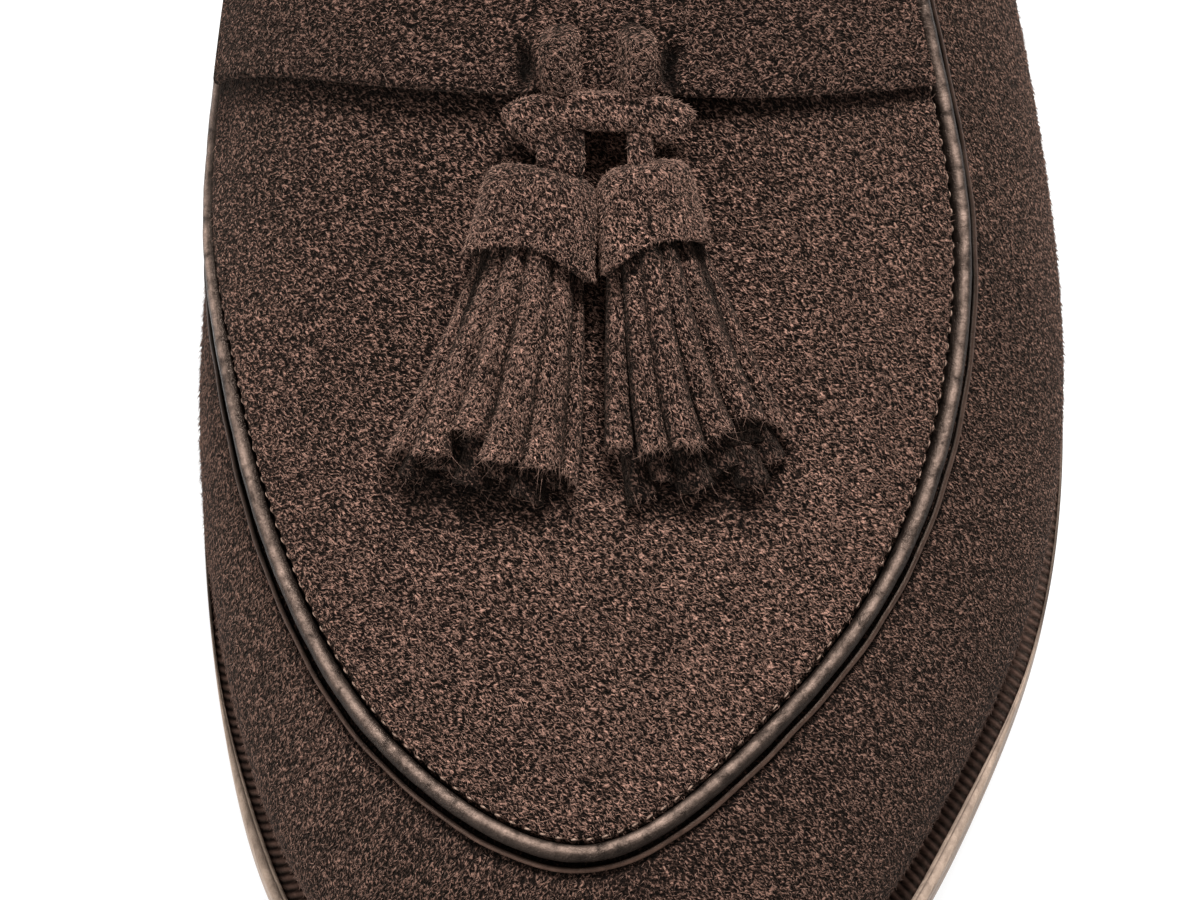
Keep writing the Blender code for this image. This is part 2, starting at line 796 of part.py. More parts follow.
def apron(finish, collection):
    """Fill the seam's outline with rings round a middle point."""
    rear = float(along_to_y(APRON_REAR_ALONG))
    seam = seam_curve(APRON_INSET)
    inside = seam[seam[:, 1] < rear]
    run = chords(inside)
    stops = np.linspace(0, run[-1], APRON_RIM_POINTS)
    rim = np.stack([np.interp(stops, run, inside[:, i]) for i in (0, 1)], axis=1)
    rear_x = (rim[0, 0] + rim[-1, 0]) / 2 + (rim[-1, 0] - rim[0, 0]) / 2 * crowded(12)[::-1][1:-1]
    rear_line = np.stack([rear_x, np.full_like(rear_x, rear)], axis=1)
    rim = np.concatenate([rim, rear_line])
    middle = np.array([rear_x.mean(), along_to_y(APRON_MIDDLE_ALONG)])
    points, faces = [], []
    for share in APRON_RINGS:
        ring = middle + (rim - middle) * share
        points.extend(on_last(ring[:, 0], ring[:, 1], np.full(len(ring), SHEET_GAP)))
    points.append(on_last(middle[0], middle[1], SHEET_GAP))
    inner = len(points) - 1 - len(rim)
    for col in range(len(rim)):
        faces.append((inner + col, inner + (col + 1) % len(rim), len(points) - 1))
    faces = grid_faces(len(APRON_RINGS), len(rim), closed=True) + faces
    sheet_object("apron", points, faces, APRON_THICKNESS, 1, finish, collection)


def tongue(finish, collection):
    """A lip that carries the apron on behind the strap and past the throat."""
    front = float(along_to_y(APRON_REAR_ALONG)) + GAP
    points = []
    across = crowded(13)
    for s in np.linspace(0, 1, 8):
        y_edge = front + TONGUE_LENGTH * s
        left = seam_side(y_edge, False, APRON_INSET + GAP)
        right = seam_side(y_edge, True, APRON_INSET + GAP)
        x = (left + right) / 2 + (right - left) / 2 * across * (1 - 0.12 * s**2)
        y = front + TONGUE_LENGTH * s * (1 - TONGUE_CORNER * np.abs(across) ** 4)
        points.extend(on_last(x, y, np.full(len(x), SHEET_GAP)))
    faces = grid_faces(8, 13, closed=False)
    sheet_object("tongue", points, faces, APRON_THICKNESS, 1, finish, collection)


def strap_front(x):
    """Y of the strap's front edge, which sweeps back towards its ends."""
    out = np.abs(x) / (STRAP_HALF_SPAN * BALL_WIDTH)
    return along_to_y(STRAP_FRONT_ALONG) + STRAP_SWEEP * out**2.5


def strap_seat(out):
    """Lift of the strap's underside at a share out from its middle to an end."""
    return 2 * SHEET_GAP + APRON_THICKNESS + STRAP_STANDOFF * (1 - out**2) ** 2


def strap(finish, collection):
    points = []
    across = crowded(17)
    rows = np.linspace(0, 1, 6)
    for s in rows:
        middle = float(along_to_y(STRAP_FRONT_ALONG))
        y_guess = middle + STRAP_SWEEP + STRAP_END_WIDTH * s
        left = seam_side(y_guess, False, APRON_INSET + GAP)
        right = seam_side(y_guess, True, APRON_INSET + GAP)
        x = (left + right) / 2 + (right - left) / 2 * across
        width = STRAP_WIDTH + (STRAP_END_WIDTH - STRAP_WIDTH) * np.abs(across) ** 2
        y = strap_front(x) + width * s
        points.extend(on_last(x, y, strap_seat(np.abs(across))))
    faces = grid_faces(len(rows), len(across), closed=False)
    sheet_object("strap", points, faces, STRAP_THICKNESS, 1, finish, collection)


def piping(finish, collection):
    seam = seam_curve(0)
    run = chords(seam)
    stops = np.linspace(0, run[-1], PIPING_POINTS)
    x, y = (np.interp(stops, run, seam[:, i]) for i in (0, 1))
    tube("piping", on_last(x, y, np.full(len(x), GAP + PIPING_RADIUS)), PIPING_RADIUS,
         False, finish, collection)


def topline_binding(finish, collection):
    """A bead along the collar, stopping on each side short of the tongue's corners."""
    shares = np.arange(BINDING_POINTS) / BINDING_POINTS
    rim = shell(shares, np.ones_like(shares))
    limit = along_to_y(BINDING_FRONT_ALONG)
    toe = int(np.argmin(rim[:, 1]))
    order = np.concatenate([np.arange(toe, BINDING_POINTS), np.arange(0, toe)])
    keep = [i for i in order if rim[i, 1] > limit]
    shares = shares[keep]
    rim = rim[keep]
    below = shell(shares, np.full_like(shares, 0.985))
    upward = rim - below
    upward /= np.linalg.norm(upward, axis=1, keepdims=True)
    inward = -shell_normal(shares, np.ones_like(shares))
    points = rim + inward * UPPER_WALL / 2 + upward * (GAP + BINDING_RADIUS)
    tube("topline_binding", points, BINDING_RADIUS, False, finish, collection)


def back_strip(finish, collection):
    """A strip over the heel seam, from under the collar to just above the welt."""
    half = BACK_STRIP_WIDTH / 2 / chords(WIDEST)[-1]
    levels = np.concatenate([np.linspace(0.985, 0, 9), np.linspace(-0.25, -0.8, 3)])
    points = []
    for level in levels:
        shares = np.linspace(-half, half, 7)
        flat = np.full_like(shares, level)
        points.extend(shell(shares, flat) + shell_normal(shares, flat) * SHEET_GAP)
    faces = grid_faces(len(levels), 7, closed=False)
    sheet_object("back_strip", points, faces, BACK_STRIP_THICKNESS, 1, finish, collection)


# Knot and tassels


def knot_band(finish, collection):
    """The thong wound across in front of the strap."""
    sections = []
    for side in np.linspace(-1, 1, 11):
        x = side * KNOT_WIDTH / 2
        middle = strap_front(x) - SHEET_GAP - KNOT_DEPTH / 2
        full = math.sqrt(max(1 - abs(side) ** 5, 0.12))
        section = []
        for corner in range(10):
            turn = corner * 2 * math.pi / 10
            y = middle + KNOT_DEPTH / 2 * full * math.cos(turn)
            lift = strap_seat(0) + KNOT_HEIGHT * (0.4 + 0.5 * full * math.sin(turn))
            section.append(on_last(x, y, lift))
        sections.append(section)
    add_object("knot_band", loft("knot_band", sections), finish, collection)


def thong(side, neck, finish, collection):
    """A loop of the thong that arches over the strap and dips back into it."""
    sections = []
    for s in np.linspace(0, 1, 9):
        y = strap_front(neck) + THONG_REACH * s
        bow = THONG_ARCH * math.sin(math.pi * s) ** 0.8 if 0 < s < 1 else 0
        section = []
        for out, level in ((-1, 0), (1, 0), (1, 1), (-1, 1)):
            x = neck + out * THONG_WIDTH / 2
            share = abs(x) / (STRAP_HALF_SPAN * BALL_WIDTH)
            lift = strap_seat(share) + STRAP_THICKNESS + SHEET_GAP + bow + level * THONG_THICKNESS
            section.append(on_last(x, y, lift))
        sections.append(section)
    name = f"thong_{side}"
    add_object(name, loft(name, sections), finish, collection)


def tassel_frame(neck, foot, along):
    """Centre point on the apron and its across direction, at a share along a tassel."""
    x = neck + (foot - neck) * along
    start = strap_front(0) - SHEET_GAP - KNOT_DEPTH - GAP
    y = start - TASSEL_LENGTH * along
    return x, y


def tassel_point(neck, foot, along, across, up):
    x, y = tassel_frame(neck, foot, along)
    lean = (foot - neck) / TASSEL_LENGTH
    seat = 2 * SHEET_GAP + APRON_THICKNESS
    return on_last(x + across, y + across * lean, seat + up)


def tassel_section(neck, foot, along, half_width, height, corners=12):
    section = []
    for corner in range(corners):
        turn = corner * 2 * math.pi / corners
        across = half_width * math.cos(turn)
        up = height * (0.5 + 0.5 * math.sin(turn))
        section.append(tassel_point(neck, foot, along, across, up))
    return section


def tape_section(neck, foot, along, centre, half_width, low, thickness):
    """Four corners of a flat strip of leather."""
    corners = ((-1, 0), (1, 0), (1, 1), (-1, 1))
    return [
        tassel_point(neck, foot, along, centre + side * half_width, low + level * thickness)
        for side, level in corners
    ]


def strip_sections(neck, foot, number):
    """Sections of one strip, fanning out from inside the cap."""
    side = -1 + 2 * number / (STRIPS - 1)
    end = STRIP_ENDS[number]
    sections = []
    for s in np.linspace(0, 1, 4):
        along = 0.27 + (end - 0.27) * s
        start_x = side * 0.33 * CAP_WIDTH
        end_x = side * (TASSEL_SPREAD - STRIP_WIDTH) / 2
        centre = start_x + (end_x - start_x) * s
        crown = CAP_HEIGHT * (0.66 - 0.22 * side**2) * (1 - 0.28 * s)
        low = crown + (0.35 if number % 2 else -0.15) * STRIP_THICKNESS
        half_width = STRIP_WIDTH * (0.40 + 0.10 * s)
        sections.append(tape_section(neck, foot, along, centre, half_width, low, STRIP_THICKNESS))
    return sections


def tassel(side, neck, foot, finish, collection, cutters):
    """Fuse the stem, the core and the strips onto the cap."""
    name = f"tassel_{side}"
    cap_sections = [
        tassel_section(neck, foot, row[0], row[1] * CAP_WIDTH / 2, row[2] * CAP_HEIGHT)
        for row in CAP
    ]
    core_sections = [
        tassel_section(neck, foot, row[0], row[1] * TASSEL_SPREAD / 2, row[2] * CAP_HEIGHT)
        for row in CORE
    ]
    stem_low = 0.35 * CAP_HEIGHT
    stem_sections = [
        tape_section(neck, foot, along, 0, 0.3 * THONG_WIDTH, stem_low, THONG_THICKNESS * 1.3)
        for along in (0.0, 0.03, 0.08)
    ]
    body = add_object(name, loft(name, cap_sections), finish, collection)
    joined = [("core", core_sections), ("stem", stem_sections)]
    joined += [(f"strip_{i}", strip_sections(neck, foot, i)) for i in range(STRIPS)]
    for piece, sections in joined:
        label = f"{name}_{piece}"
        cutter = add_object(label, loft(label, sections), finish, cutters)
        cutter.hide_render = True
        cutter.display_type = "WIRE"
        union = body.modifiers.new(piece, "BOOLEAN")
        union.operation = "UNION"
        union.object = cutter


def build():
    clear_scene()
    shoe = new_collection("tassel_loafer")
    cutters = new_collection("cutters")

    suede = material("brown_suede", (0.070, 0.042, 0.032), 0.95)
    apron_suede = material("apron_suede", (0.080, 0.050, 0.038), 0.95)
    strip_suede = material("tassel_suede", (0.095, 0.060, 0.045), 0.95)
    smooth_leather = material("smooth_leather", (0.105, 0.068, 0.050), 0.4)
    welt_leather = material("welt_leather", (0.024, 0.014, 0.011), 0.5)
    sole_leather = material("sole_leather", (0.33, 0.24, 0.17), 0.55)
    heel_leather = material("heel_leather", (0.10, 0.06, 0.04), 0.5)
    heel_rubber = material("heel_rubber", (0.02, 0.018, 0.017), 0.8)
    lining_leather = material("insole_leather", (0.42, 0.29, 0.19), 0.6)

    outsole(sole_leather, shoe)
    welt(welt_leather, shoe)
    heel(heel_leather, heel_rubber, shoe)
    insole(lining_leather, shoe)
    upper(suede, shoe)
    apron(apron_suede, shoe)
    tongue(apron_suede, shoe)
    strap(suede, shoe)
    piping(smooth_leather, shoe)
    topline_binding(smooth_leather, shoe)
    back_strip(suede, shoe)
    knot_band(strip_suede, shoe)
    for side, neck_share, foot_share in TASSELS:
        neck, foot = neck_share * BALL_WIDTH, foot_share * BALL_WIDTH
        thong(side, neck, strip_suede, shoe)
        tassel(side, neck, foot, strip_suede, shoe, cutters)


build()
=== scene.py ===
"""The looks of a tassel loafer for the left foot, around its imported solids.

Units are metres, +Z is up, the toe points to -Y and the outer side of the shoe is +X.
Shapes are worked out in the last's own coordinates from the same sizes as the solids, and
every mesh is then moved by FRAME_SHIFT, which centres the footprint.
"""

import math

import bpy
import numpy as np
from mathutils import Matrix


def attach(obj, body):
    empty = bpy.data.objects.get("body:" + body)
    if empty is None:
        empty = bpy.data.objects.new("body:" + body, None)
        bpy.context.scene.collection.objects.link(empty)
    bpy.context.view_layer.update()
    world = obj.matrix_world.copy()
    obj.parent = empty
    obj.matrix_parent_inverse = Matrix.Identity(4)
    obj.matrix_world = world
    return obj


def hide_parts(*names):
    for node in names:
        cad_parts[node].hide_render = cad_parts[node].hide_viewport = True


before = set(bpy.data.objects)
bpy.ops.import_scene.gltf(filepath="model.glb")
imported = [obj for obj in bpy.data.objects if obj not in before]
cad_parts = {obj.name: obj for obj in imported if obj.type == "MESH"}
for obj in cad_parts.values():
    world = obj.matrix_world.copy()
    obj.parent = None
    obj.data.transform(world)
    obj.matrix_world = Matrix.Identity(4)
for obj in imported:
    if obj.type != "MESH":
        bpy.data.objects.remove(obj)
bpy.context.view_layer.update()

# Sizes shared with the solids

UPPER_LENGTH = 0.2925
BALL_WIDTH = 0.105
HEEL_HEIGHT = 0.0249
TOE_SPRING = 0.0084
CROWN_RISE = 0.0555
SIDE_HEIGHT = 0.0205
FEATHER_TUCK = 0.009
COLLAR_HEIGHT = 0.0545
OUTSOLE_THICKNESS = 0.005
OUTSOLE_CHAMFER = 0.0006
WELT_THICKNESS = 0.003
WELT_REACH = 0.0038
INSOLE_THICKNESS = 0.0025
UPPER_WALL = 0.0018
LASTING_MARGIN = 0.008
HEEL_LENGTH = 0.071
HEEL_TAPER = 0.0016
HEEL_BREAST_HOLLOW = 0.004
TOP_LIFT_THICKNESS = 0.006
HEEL_LIFTS = 3
APRON_THICKNESS = 0.0012
PIPING_RADIUS = 0.001
BINDING_RADIUS = 0.0011
BACK_STRIP_WIDTH = 0.016
BACK_STRIP_THICKNESS = 0.001
TONGUE_LENGTH = 0.0235
TONGUE_CORNER = 0.3
STRAP_WIDTH = 0.0245
STRAP_END_WIDTH = 0.0150
STRAP_SWEEP = 0.0065
STRAP_THICKNESS = 0.0014
STRAP_STANDOFF = 0.0022
THONG_WIDTH = 0.0062
THONG_THICKNESS = 0.0014
THONG_REACH = 0.0085
THONG_ARCH = 0.0024
KNOT_WIDTH = 0.0228
KNOT_DEPTH = 0.0052
KNOT_HEIGHT = 0.0038
TASSEL_LENGTH = 0.0385
TASSEL_SPREAD = 0.0215
CAP_WIDTH = 0.0142
CAP_HEIGHT = 0.0086
STRIP_THICKNESS = 0.0014
GAP = 0.0003
SHEET_GAP = 0.00045
FOOT_CENTRE_ALONG = 0.31
STRAP_FRONT_ALONG = 0.6375
APRON_REAR_ALONG = 0.565
ROW_CROWDING = 1.25

# Widest line of the last: reach from the centre line as shares of BALL_WIDTH
OUTLINE = [
    # along, medial, lateral
    (0.030, 0.208, 0.208),
    (0.095, 0.296, 0.298),
    (0.190, 0.325, 0.337),
    (0.300, 0.320, 0.360),
    (0.400, 0.330, 0.400),
    (0.480, 0.374, 0.447),
    (0.560, 0.424, 0.495),
    (0.640, 0.452, 0.530),
    (0.720, 0.463, 0.536),
    (0.800, 0.443, 0.497),
    (0.870, 0.398, 0.415),
    (0.930, 0.326, 0.320),
    (0.975, 0.210, 0.205),
]

# Underside of the sole, as shares of HEEL_HEIGHT and TOE_SPRING
SOLE_RISE = [
    # along, heel, toe
    (0.00, 1.000, 0.00),
    (0.12, 0.964, 0.00),
    (0.24, 0.880, 0.00),
    (0.36, 0.655, 0.00),
    (0.48, 0.310, 0.00),
    (0.58, 0.070, 0.00),
    (0.65, -0.008, 0.00),
    (0.70, -0.010, -0.02),
    (0.75, 0.000, -0.01),
    (0.84, 0.000, 0.21),
    (0.93, 0.000, 0.60),
    (1.00, 0.000, 1.00),
    (1.02, 0.000, 1.12),
]

# Side of the upper: shares of SIDE_HEIGHT, FEATHER_TUCK and WELT_REACH
SIDE = [
    # along, height, tuck_medial, tuck_lateral, edge_medial, edge_lateral
    (0.00, 0.98, 0.36, 0.36, 0.20, 0.20),
    (0.12, 1.00, 0.38, 0.38, 0.15, 0.15),
    (0.24, 1.00, 0.56, 0.47, 0.00, 0.05),
    (0.36, 1.00, 0.94, 0.56, -0.95, -0.30),
    (0.48, 0.88, 1.00, 0.56, -1.05, -0.35),
    (0.58, 0.71, 0.67, 0.51, -0.30, 0.00),
    (0.66, 0.61, 0.51, 0.49, 0.05, 0.20),
    (0.74, 0.56, 0.47, 0.47, 0.15, 0.30),
    (0.84, 0.49, 0.42, 0.42, 0.45, 0.60),
    (0.93, 0.41, 0.38, 0.38, 0.85, 0.90),
    (1.00, 0.34, 0.33, 0.33, 1.00, 1.00),
]

# Ridge of the last over its widest line, as shares of CROWN_RISE
RIDGE = [
    # along, rise
    (0.0000, 0.000),
    (0.0031, 0.297),
    (0.0109, 0.586),
    (0.0222, 0.730),
    (0.0462, 0.848),
    (0.0940, 0.950),
    (0.1730, 1.001),
    (0.2920, 1.014),
    (0.3950, 1.004),
    (0.4770, 0.962),
    (0.5380, 0.894),
    (0.6000, 0.795),
    (0.6680, 0.676),
    (0.7370, 0.560),
    (0.8050, 0.463),
    (0.8740, 0.373),
    (0.9390, 0.279),
    (0.9780, 0.188),
    (0.9950, 0.098),
    (1.0000, 0.000),
]

# Cross sections: the ridge's shift, and the arch's two handles on each side
SECTIONS = [
    # along, shift, wall_medial, top_medial, wall_lateral, top_lateral
    (0.00, 0.000, 0.80, 0.55, 0.80, 0.55),
    (0.15, 0.000, 0.85, 0.50, 0.85, 0.50),
    (0.35, -0.028, 0.82, 0.48, 0.70, 0.45),
    (0.50, -0.047, 0.84, 0.60, 0.55, 0.50),
    (0.62, -0.047, 0.76, 0.68, 0.50, 0.55),
    (0.75, -0.038, 0.62, 0.58, 0.52, 0.56),
    (0.88, -0.019, 0.56, 0.56, 0.56, 0.56),
    (1.00, 0.000, 0.55, 0.55, 0.55, 0.55),
]

# Collar seen from the side, as shares of COLLAR_HEIGHT
TOPLINE = [
    # along, height
    (0.00, 1.000),
    (0.06, 0.960),
    (0.17, 0.826),
    (0.29, 0.894),
    (0.40, 1.030),
    (0.50, 1.198),
    (0.56, 1.290),
]

# Seam of the apron: reach as shares of BALL_WIDTH, rear to tip
APRON_SEAM = [
    # along, medial, lateral
    (0.500, 0.335, 0.282),
    (0.540, 0.382, 0.318),
    (0.600, 0.418, 0.364),
    (0.660, 0.432, 0.399),
    (0.720, 0.412, 0.396),
    (0.780, 0.374, 0.357),
    (0.830, 0.322, 0.290),
    (0.870, 0.258, 0.205),
    (0.900, 0.180, 0.124),
    (0.918, 0.110, 0.060),
]
APRON_TIP = (0.9275, -0.011)

# Sizes of the fine work

STITCH_PITCH = 0.002
LONG_STITCH = 0.0022
STITCH_RADIUS = 0.00014
RIB_PITCH = 0.00118
RIB_HEIGHT = 0.0005
FOLD_RADIUS = 0.00030
FOLD_OUT = 0.00150
FOLD_STEEP = 0.0014
RIM_REAR_Y = 0.090
RIM_FRONT_Y = 0.120
GROOVE_DEPTH = 0.00045
GROOVE_REACH = 0.0042
APRON_EDGE = 0.00112
APRON_PUFF = 0.00025
STRAP_HALF_SPAN = 0.38
SLIT_SETBACK = 0.003
SEAM_RADIUS = 0.0006
FIBRE_WIDTH = 0.0001

# Soft swells and dents that hand lasting leaves in the suede
SWELLS = [
    # along, across as a share of BALL_WIDTH, radius, height
    (0.800, -0.42, 0.012, 0.00045),
    (0.725, 0.46, 0.016, -0.00045),
    (0.660, -0.44, 0.011, -0.00040),
    (0.865, 0.33, 0.011, 0.00040),
    (0.900, -0.24, 0.010, -0.00035),
    (0.955, 0.05, 0.011, 0.00030),
    (0.600, 0.45, 0.014, 0.00050),
    (0.520, -0.36, 0.013, -0.00050),
    (0.455, 0.36, 0.014, -0.00060),
    (0.380, -0.29, 0.012, 0.00045),
    (0.200, 0.30, 0.016, 0.00040),
    (0.120, -0.26, 0.013, -0.00040),
    (0.700, 0.10, 0.020, 0.00025),
    (0.780, -0.12, 0.016, -0.00020),
]


# Smooth curves through table rows


def smooth(stops, values, closed=False, start=None, end=None):
    """Give the twice smooth curve through values at stops, with end slopes where given."""
    stops = np.asarray(stops, float)
    values = np.asarray(values, float)
    count = len(stops)
    steps = np.diff(stops)
    slopes = np.diff(values, axis=0) / steps[:, None]
    matrix = np.zeros((count, count))
    right = np.zeros((count, values.shape[1]))
    for i in range(1, count - 1):
        matrix[i, i - 1] = 1 / steps[i - 1]
        matrix[i, i] = 2 / steps[i - 1] + 2 / steps[i]
        matrix[i, i + 1] = 1 / steps[i]
        right[i] = 3 * (slopes[i - 1] / steps[i - 1] + slopes[i] / steps[i])
    if closed:
        matrix[0, 0] = 2 / steps[0] + 2 / steps[-1]
        matrix[0, 1] = 1 / steps[0]
        matrix[0, -2] = 1 / steps[-1]
        right[0] = 3 * (slopes[0] / steps[0] + slopes[-1] / steps[-1])
        matrix[-1, 0], matrix[-1, -1] = 1, -1
    else:
        matrix[0, 0] = 1 if start is not None else 2 / steps[0]
        matrix[-1, -1] = 1 if end is not None else 2 / steps[-1]
        right[0] = start if start is not None else 3 * slopes[0] / steps[0]
        right[-1] = end if end is not None else 3 * slopes[-1] / steps[-1]
        if start is None:
            matrix[0, 1] = 1 / steps[0]
        if end is None:
            matrix[-1, -2] = 1 / steps[-1]
    tangents = np.linalg.solve(matrix, right)

    def curve(at):
        at = np.clip(np.asarray(at, float), stops[0], stops[-1])
        i = np.clip(np.searchsorted(stops, at, side="right") - 1, 0, count - 2)
        step = steps[i][..., None]
        u = ((at - stops[i]) / steps[i])[..., None]
        rest = 1 - u
        points = values[i] * (1 + 2 * u) * rest**2 + values[i + 1] * u**2 * (3 - 2 * u)
        return points + tangents[i] * step * u * rest**2 - tangents[i + 1] * step * u**2 * rest

    return curve


def chords(points):
    """Give the distance run at each point of a polyline."""
    return np.concatenate([[0], np.cumsum(np.linalg.norm(np.diff(points, axis=0), axis=1))])


def along_to_y(along):
    return UPPER_LENGTH * (0.5 - np.asarray(along, float))


def column(table, place):
    """Give one column of a table as a function of y."""
    curve = smooth([row[0] for row in table], [[row[place]] for row in table])
    return lambda y: curve(0.5 - np.asarray(y, float) / UPPER_LENGTH)[..., 0]


def ease(low, high, at):
    """Rise smoothly from 0 to 1 between low and high."""
    t = np.clip((np.asarray(at, float) - low) / (high - low), 0, 1)
    return t * t * (3 - 2 * t)


def between(at, stops, values):
    """Interpolate rows of values given at stops."""
    values = np.asarray(values)
    return np.stack([np.interp(at, stops, column_of) for column_of in values.T], axis=-1)


def unit(vectors):
    return vectors / np.maximum(np.linalg.norm(vectors, axis=-1, keepdims=True), 1e-12)


# The last

HEEL_SHARE, TOE_SHARE = column(SOLE_RISE, 1), column(SOLE_RISE, 2)
SIDE_COLUMNS = {place: column(SIDE, place) for place in range(1, 6)}
TOPLINE_SHARE = column(TOPLINE, 1)
SHIFT = column(SECTIONS, 1)
WALL_HANDLES = column(SECTIONS, 2), column(SECTIONS, 4)
TOP_HANDLES = column(SECTIONS, 3), column(SECTIONS, 5)


def sole_rise(y):
    return np.maximum(HEEL_HEIGHT * HEEL_SHARE(y) + TOE_SPRING * TOE_SHARE(y), 0)


def welt_floor(y):
    return sole_rise(y) + OUTSOLE_THICKNESS + GAP


def feather_height(y):
    return welt_floor(y) + WELT_THICKNESS + GAP


def insole_floor(y):
    return feather_height(y) + UPPER_WALL + GAP


def widest_line():
    medial = [(-row[1] * BALL_WIDTH, along_to_y(row[0])) for row in OUTLINE]
    lateral = [(row[2] * BALL_WIDTH, along_to_y(row[0])) for row in reversed(OUTLINE)]
    heel = (0.0, along_to_y(0))
    points = np.array([heel] + medial + [(0.0, along_to_y(1))] + lateral + [heel])
    stops = chords(points)
    fine = smooth(stops, points, closed=True)(np.linspace(0, stops[-1], 4001))
    run = chords(fine)
    return between(np.linspace(0, run[-1], 2001), run, fine)


WIDEST = widest_line()
ROUND_RUN = chords(WIDEST)[-1]
TOE_AT = int(np.argmin(WIDEST[:, 1]))


def widest_point(share):
    """Give a point of the widest line and its outward direction, by share of the way round."""
    place = np.mod(np.asarray(share, float), 1) * (len(WIDEST) - 1)

    def point(at):
        return between(np.mod(at, len(WIDEST) - 1), np.arange(len(WIDEST)), WIDEST)

    ahead = point(place + 4) - point(place - 4)
    return point(place), unit(np.stack([ahead[..., 1], -ahead[..., 0]], axis=-1))


def two_sided(y, x, place):
    """Blend a medial and a lateral column of SIDE by the side that x is on."""
    lateral = 0.5 + 0.5 * np.tanh(x / (0.1 * BALL_WIDTH))
    return SIDE_COLUMNS[place](y) * (1 - lateral) + SIDE_COLUMNS[place + 1](y) * lateral


def offset_loop(share, distance):
    point, outward = widest_point(share)
    return point + outward * np.asarray(distance)[..., None]


def tuck(share):
    point, _ = widest_point(share)
    return FEATHER_TUCK * two_sided(point[..., 1], point[..., 0], 2)


def edge(share):
    point, _ = widest_point(share)
    return WELT_REACH * two_sided(point[..., 1], point[..., 0], 4)


def reach(y, lateral):
    medial_x = np.interp(y, WIDEST[TOE_AT::-1, 1], WIDEST[TOE_AT::-1, 0])
    lateral_x = np.interp(y, WIDEST[TOE_AT:, 1], WIDEST[TOE_AT:, 0])
    return np.where(lateral, lateral_x, medial_x)


def ridge_samples():
    points = np.array([(along_to_y(row[0]), row[1] * CROWN_RISE) for row in reversed(RIDGE)])
    stops = chords(points)
    fine = smooth(stops, points, start=(0, 1), end=(0, -1))(np.linspace(0, stops[-1], 3000))
    return np.maximum.accumulate(fine[:, 0]), fine[:, 1]


RIDGE_Y, RIDGE_RISE = ridge_samples()


def arch(out, wall, top):
    """Height share of a quarter arch at a share out from the ridge to the widest line."""
    low, high = np.zeros_like(out), np.ones_like(out)
    for _ in range(26):
        t = (low + high) / 2
        x = (1 - t) ** 3 + 3 * (1 - t) ** 2 * t + 3 * (1 - t) * t**2 * top
        low, high = np.where(x > out, t, low), np.where(x > out, high, t)
    return 3 * (1 - low) ** 2 * low * wall + 3 * (1 - low) * low**2 + low**3


def swell(x, y):
    """Sum of the soft swells and dents over a plan position."""
    total = np.zeros(np.broadcast(x, y).shape)
    for along, across, radius, height in SWELLS:
        gap = (x - across * BALL_WIDTH) ** 2 + (y - along_to_y(along)) ** 2
        total = total + height * np.exp(-gap / (2 * radius**2))
    return total


def last_height(x, y):
    x, y = np.broadcast_arrays(np.asarray(x, float), np.asarray(y, float))
    crest = SHIFT(y) * BALL_WIDTH
    lateral = x > crest
    width = np.maximum(np.abs(reach(y, lateral) - crest), GAP)
    out = np.clip(np.abs(x - crest) / width, 0, 1)
    wall = np.where(lateral, WALL_HANDLES[1](y), WALL_HANDLES[0](y))
    top = np.where(lateral, TOP_HANDLES[1](y), TOP_HANDLES[0](y))
    share = arch(out, wall, top)
    side = SIDE_HEIGHT * SIDE_COLUMNS[1](y)
    rise = np.interp(y, RIDGE_Y, RIDGE_RISE) * share
    return feather_height(y) + side + rise + swell(x, y) * share


def on_last(x, y, lift):
    """Give the point a lift off the last's surface, along its normal, over a plan position."""
    step = 0.0004
    x, y = np.broadcast_arrays(np.asarray(x, float), np.asarray(y, float))
    z = last_height(x, y)
    slope_x = (last_height(x + step, y) - last_height(x - step, y)) / (2 * step)
    slope_y = (last_height(x, y + step) - last_height(x, y - step)) / (2 * step)
    normal = unit(np.stack([-slope_x, -slope_y, np.ones_like(z)], axis=-1))
    return np.stack([x, y, z], axis=-1) + normal * np.asarray(lift)[..., None]


FOOT_CENTRE = np.array([0.0, along_to_y(FOOT_CENTRE_ALONG)])


def collar_table(count=1440):
    """Find where rays from the foot's centre to the widest line cross the collar."""
    share = np.linspace(0, 1, count + 1)
    wide, _ = widest_point(share)
    low, high = np.full(share.shape, 0.1), np.ones(share.shape)
    for _ in range(30):
        middle = (low + high) / 2
        plan = FOOT_CENTRE + (wide - FOOT_CENTRE) * middle[..., None]
        collar = feather_height(plan[:, 1]) + COLLAR_HEIGHT * TOPLINE_SHARE(plan[:, 1])
        above = last_height(plan[:, 0], plan[:, 1]) > collar
        low, high = np.where(above, middle, low), np.where(above, high, middle)
    return share, low


COLLAR_SHARES, COLLAR_AT = collar_table()


def shell(share, level):
    """Point on the upper's outer surface: level -1 at the welt over 0 to 1 at the collar."""
    share, level = np.broadcast_arrays(np.asarray(share, float), np.asarray(level, float))
    wide, outward = widest_point(share)
    rim = np.interp(np.mod(share, 1), COLLAR_SHARES, COLLAR_AT)
    on_ray = 1 + (rim - 1) * np.clip(level, 0, 1) ** ROW_CROWDING
    upper_plan = FOOT_CENTRE + (wide - FOOT_CENTRE) * on_ray[..., None]
    upper_z = last_height(upper_plan[..., 0], upper_plan[..., 1])
    turn = np.clip(-level, 0, 1) * math.pi / 2
    skirt_plan = wide - outward * (tuck(share) * (1 - np.cos(turn)))[..., None]
    side = SIDE_HEIGHT * SIDE_COLUMNS[1](wide[..., 1])
    skirt_z = feather_height(skirt_plan[..., 1]) + side * (1 - np.sin(turn))
    below = level < 0
    plan = np.where(below[..., None], skirt_plan, upper_plan)
    return np.concatenate([plan, np.where(below, skirt_z, upper_z)[..., None]], axis=-1)


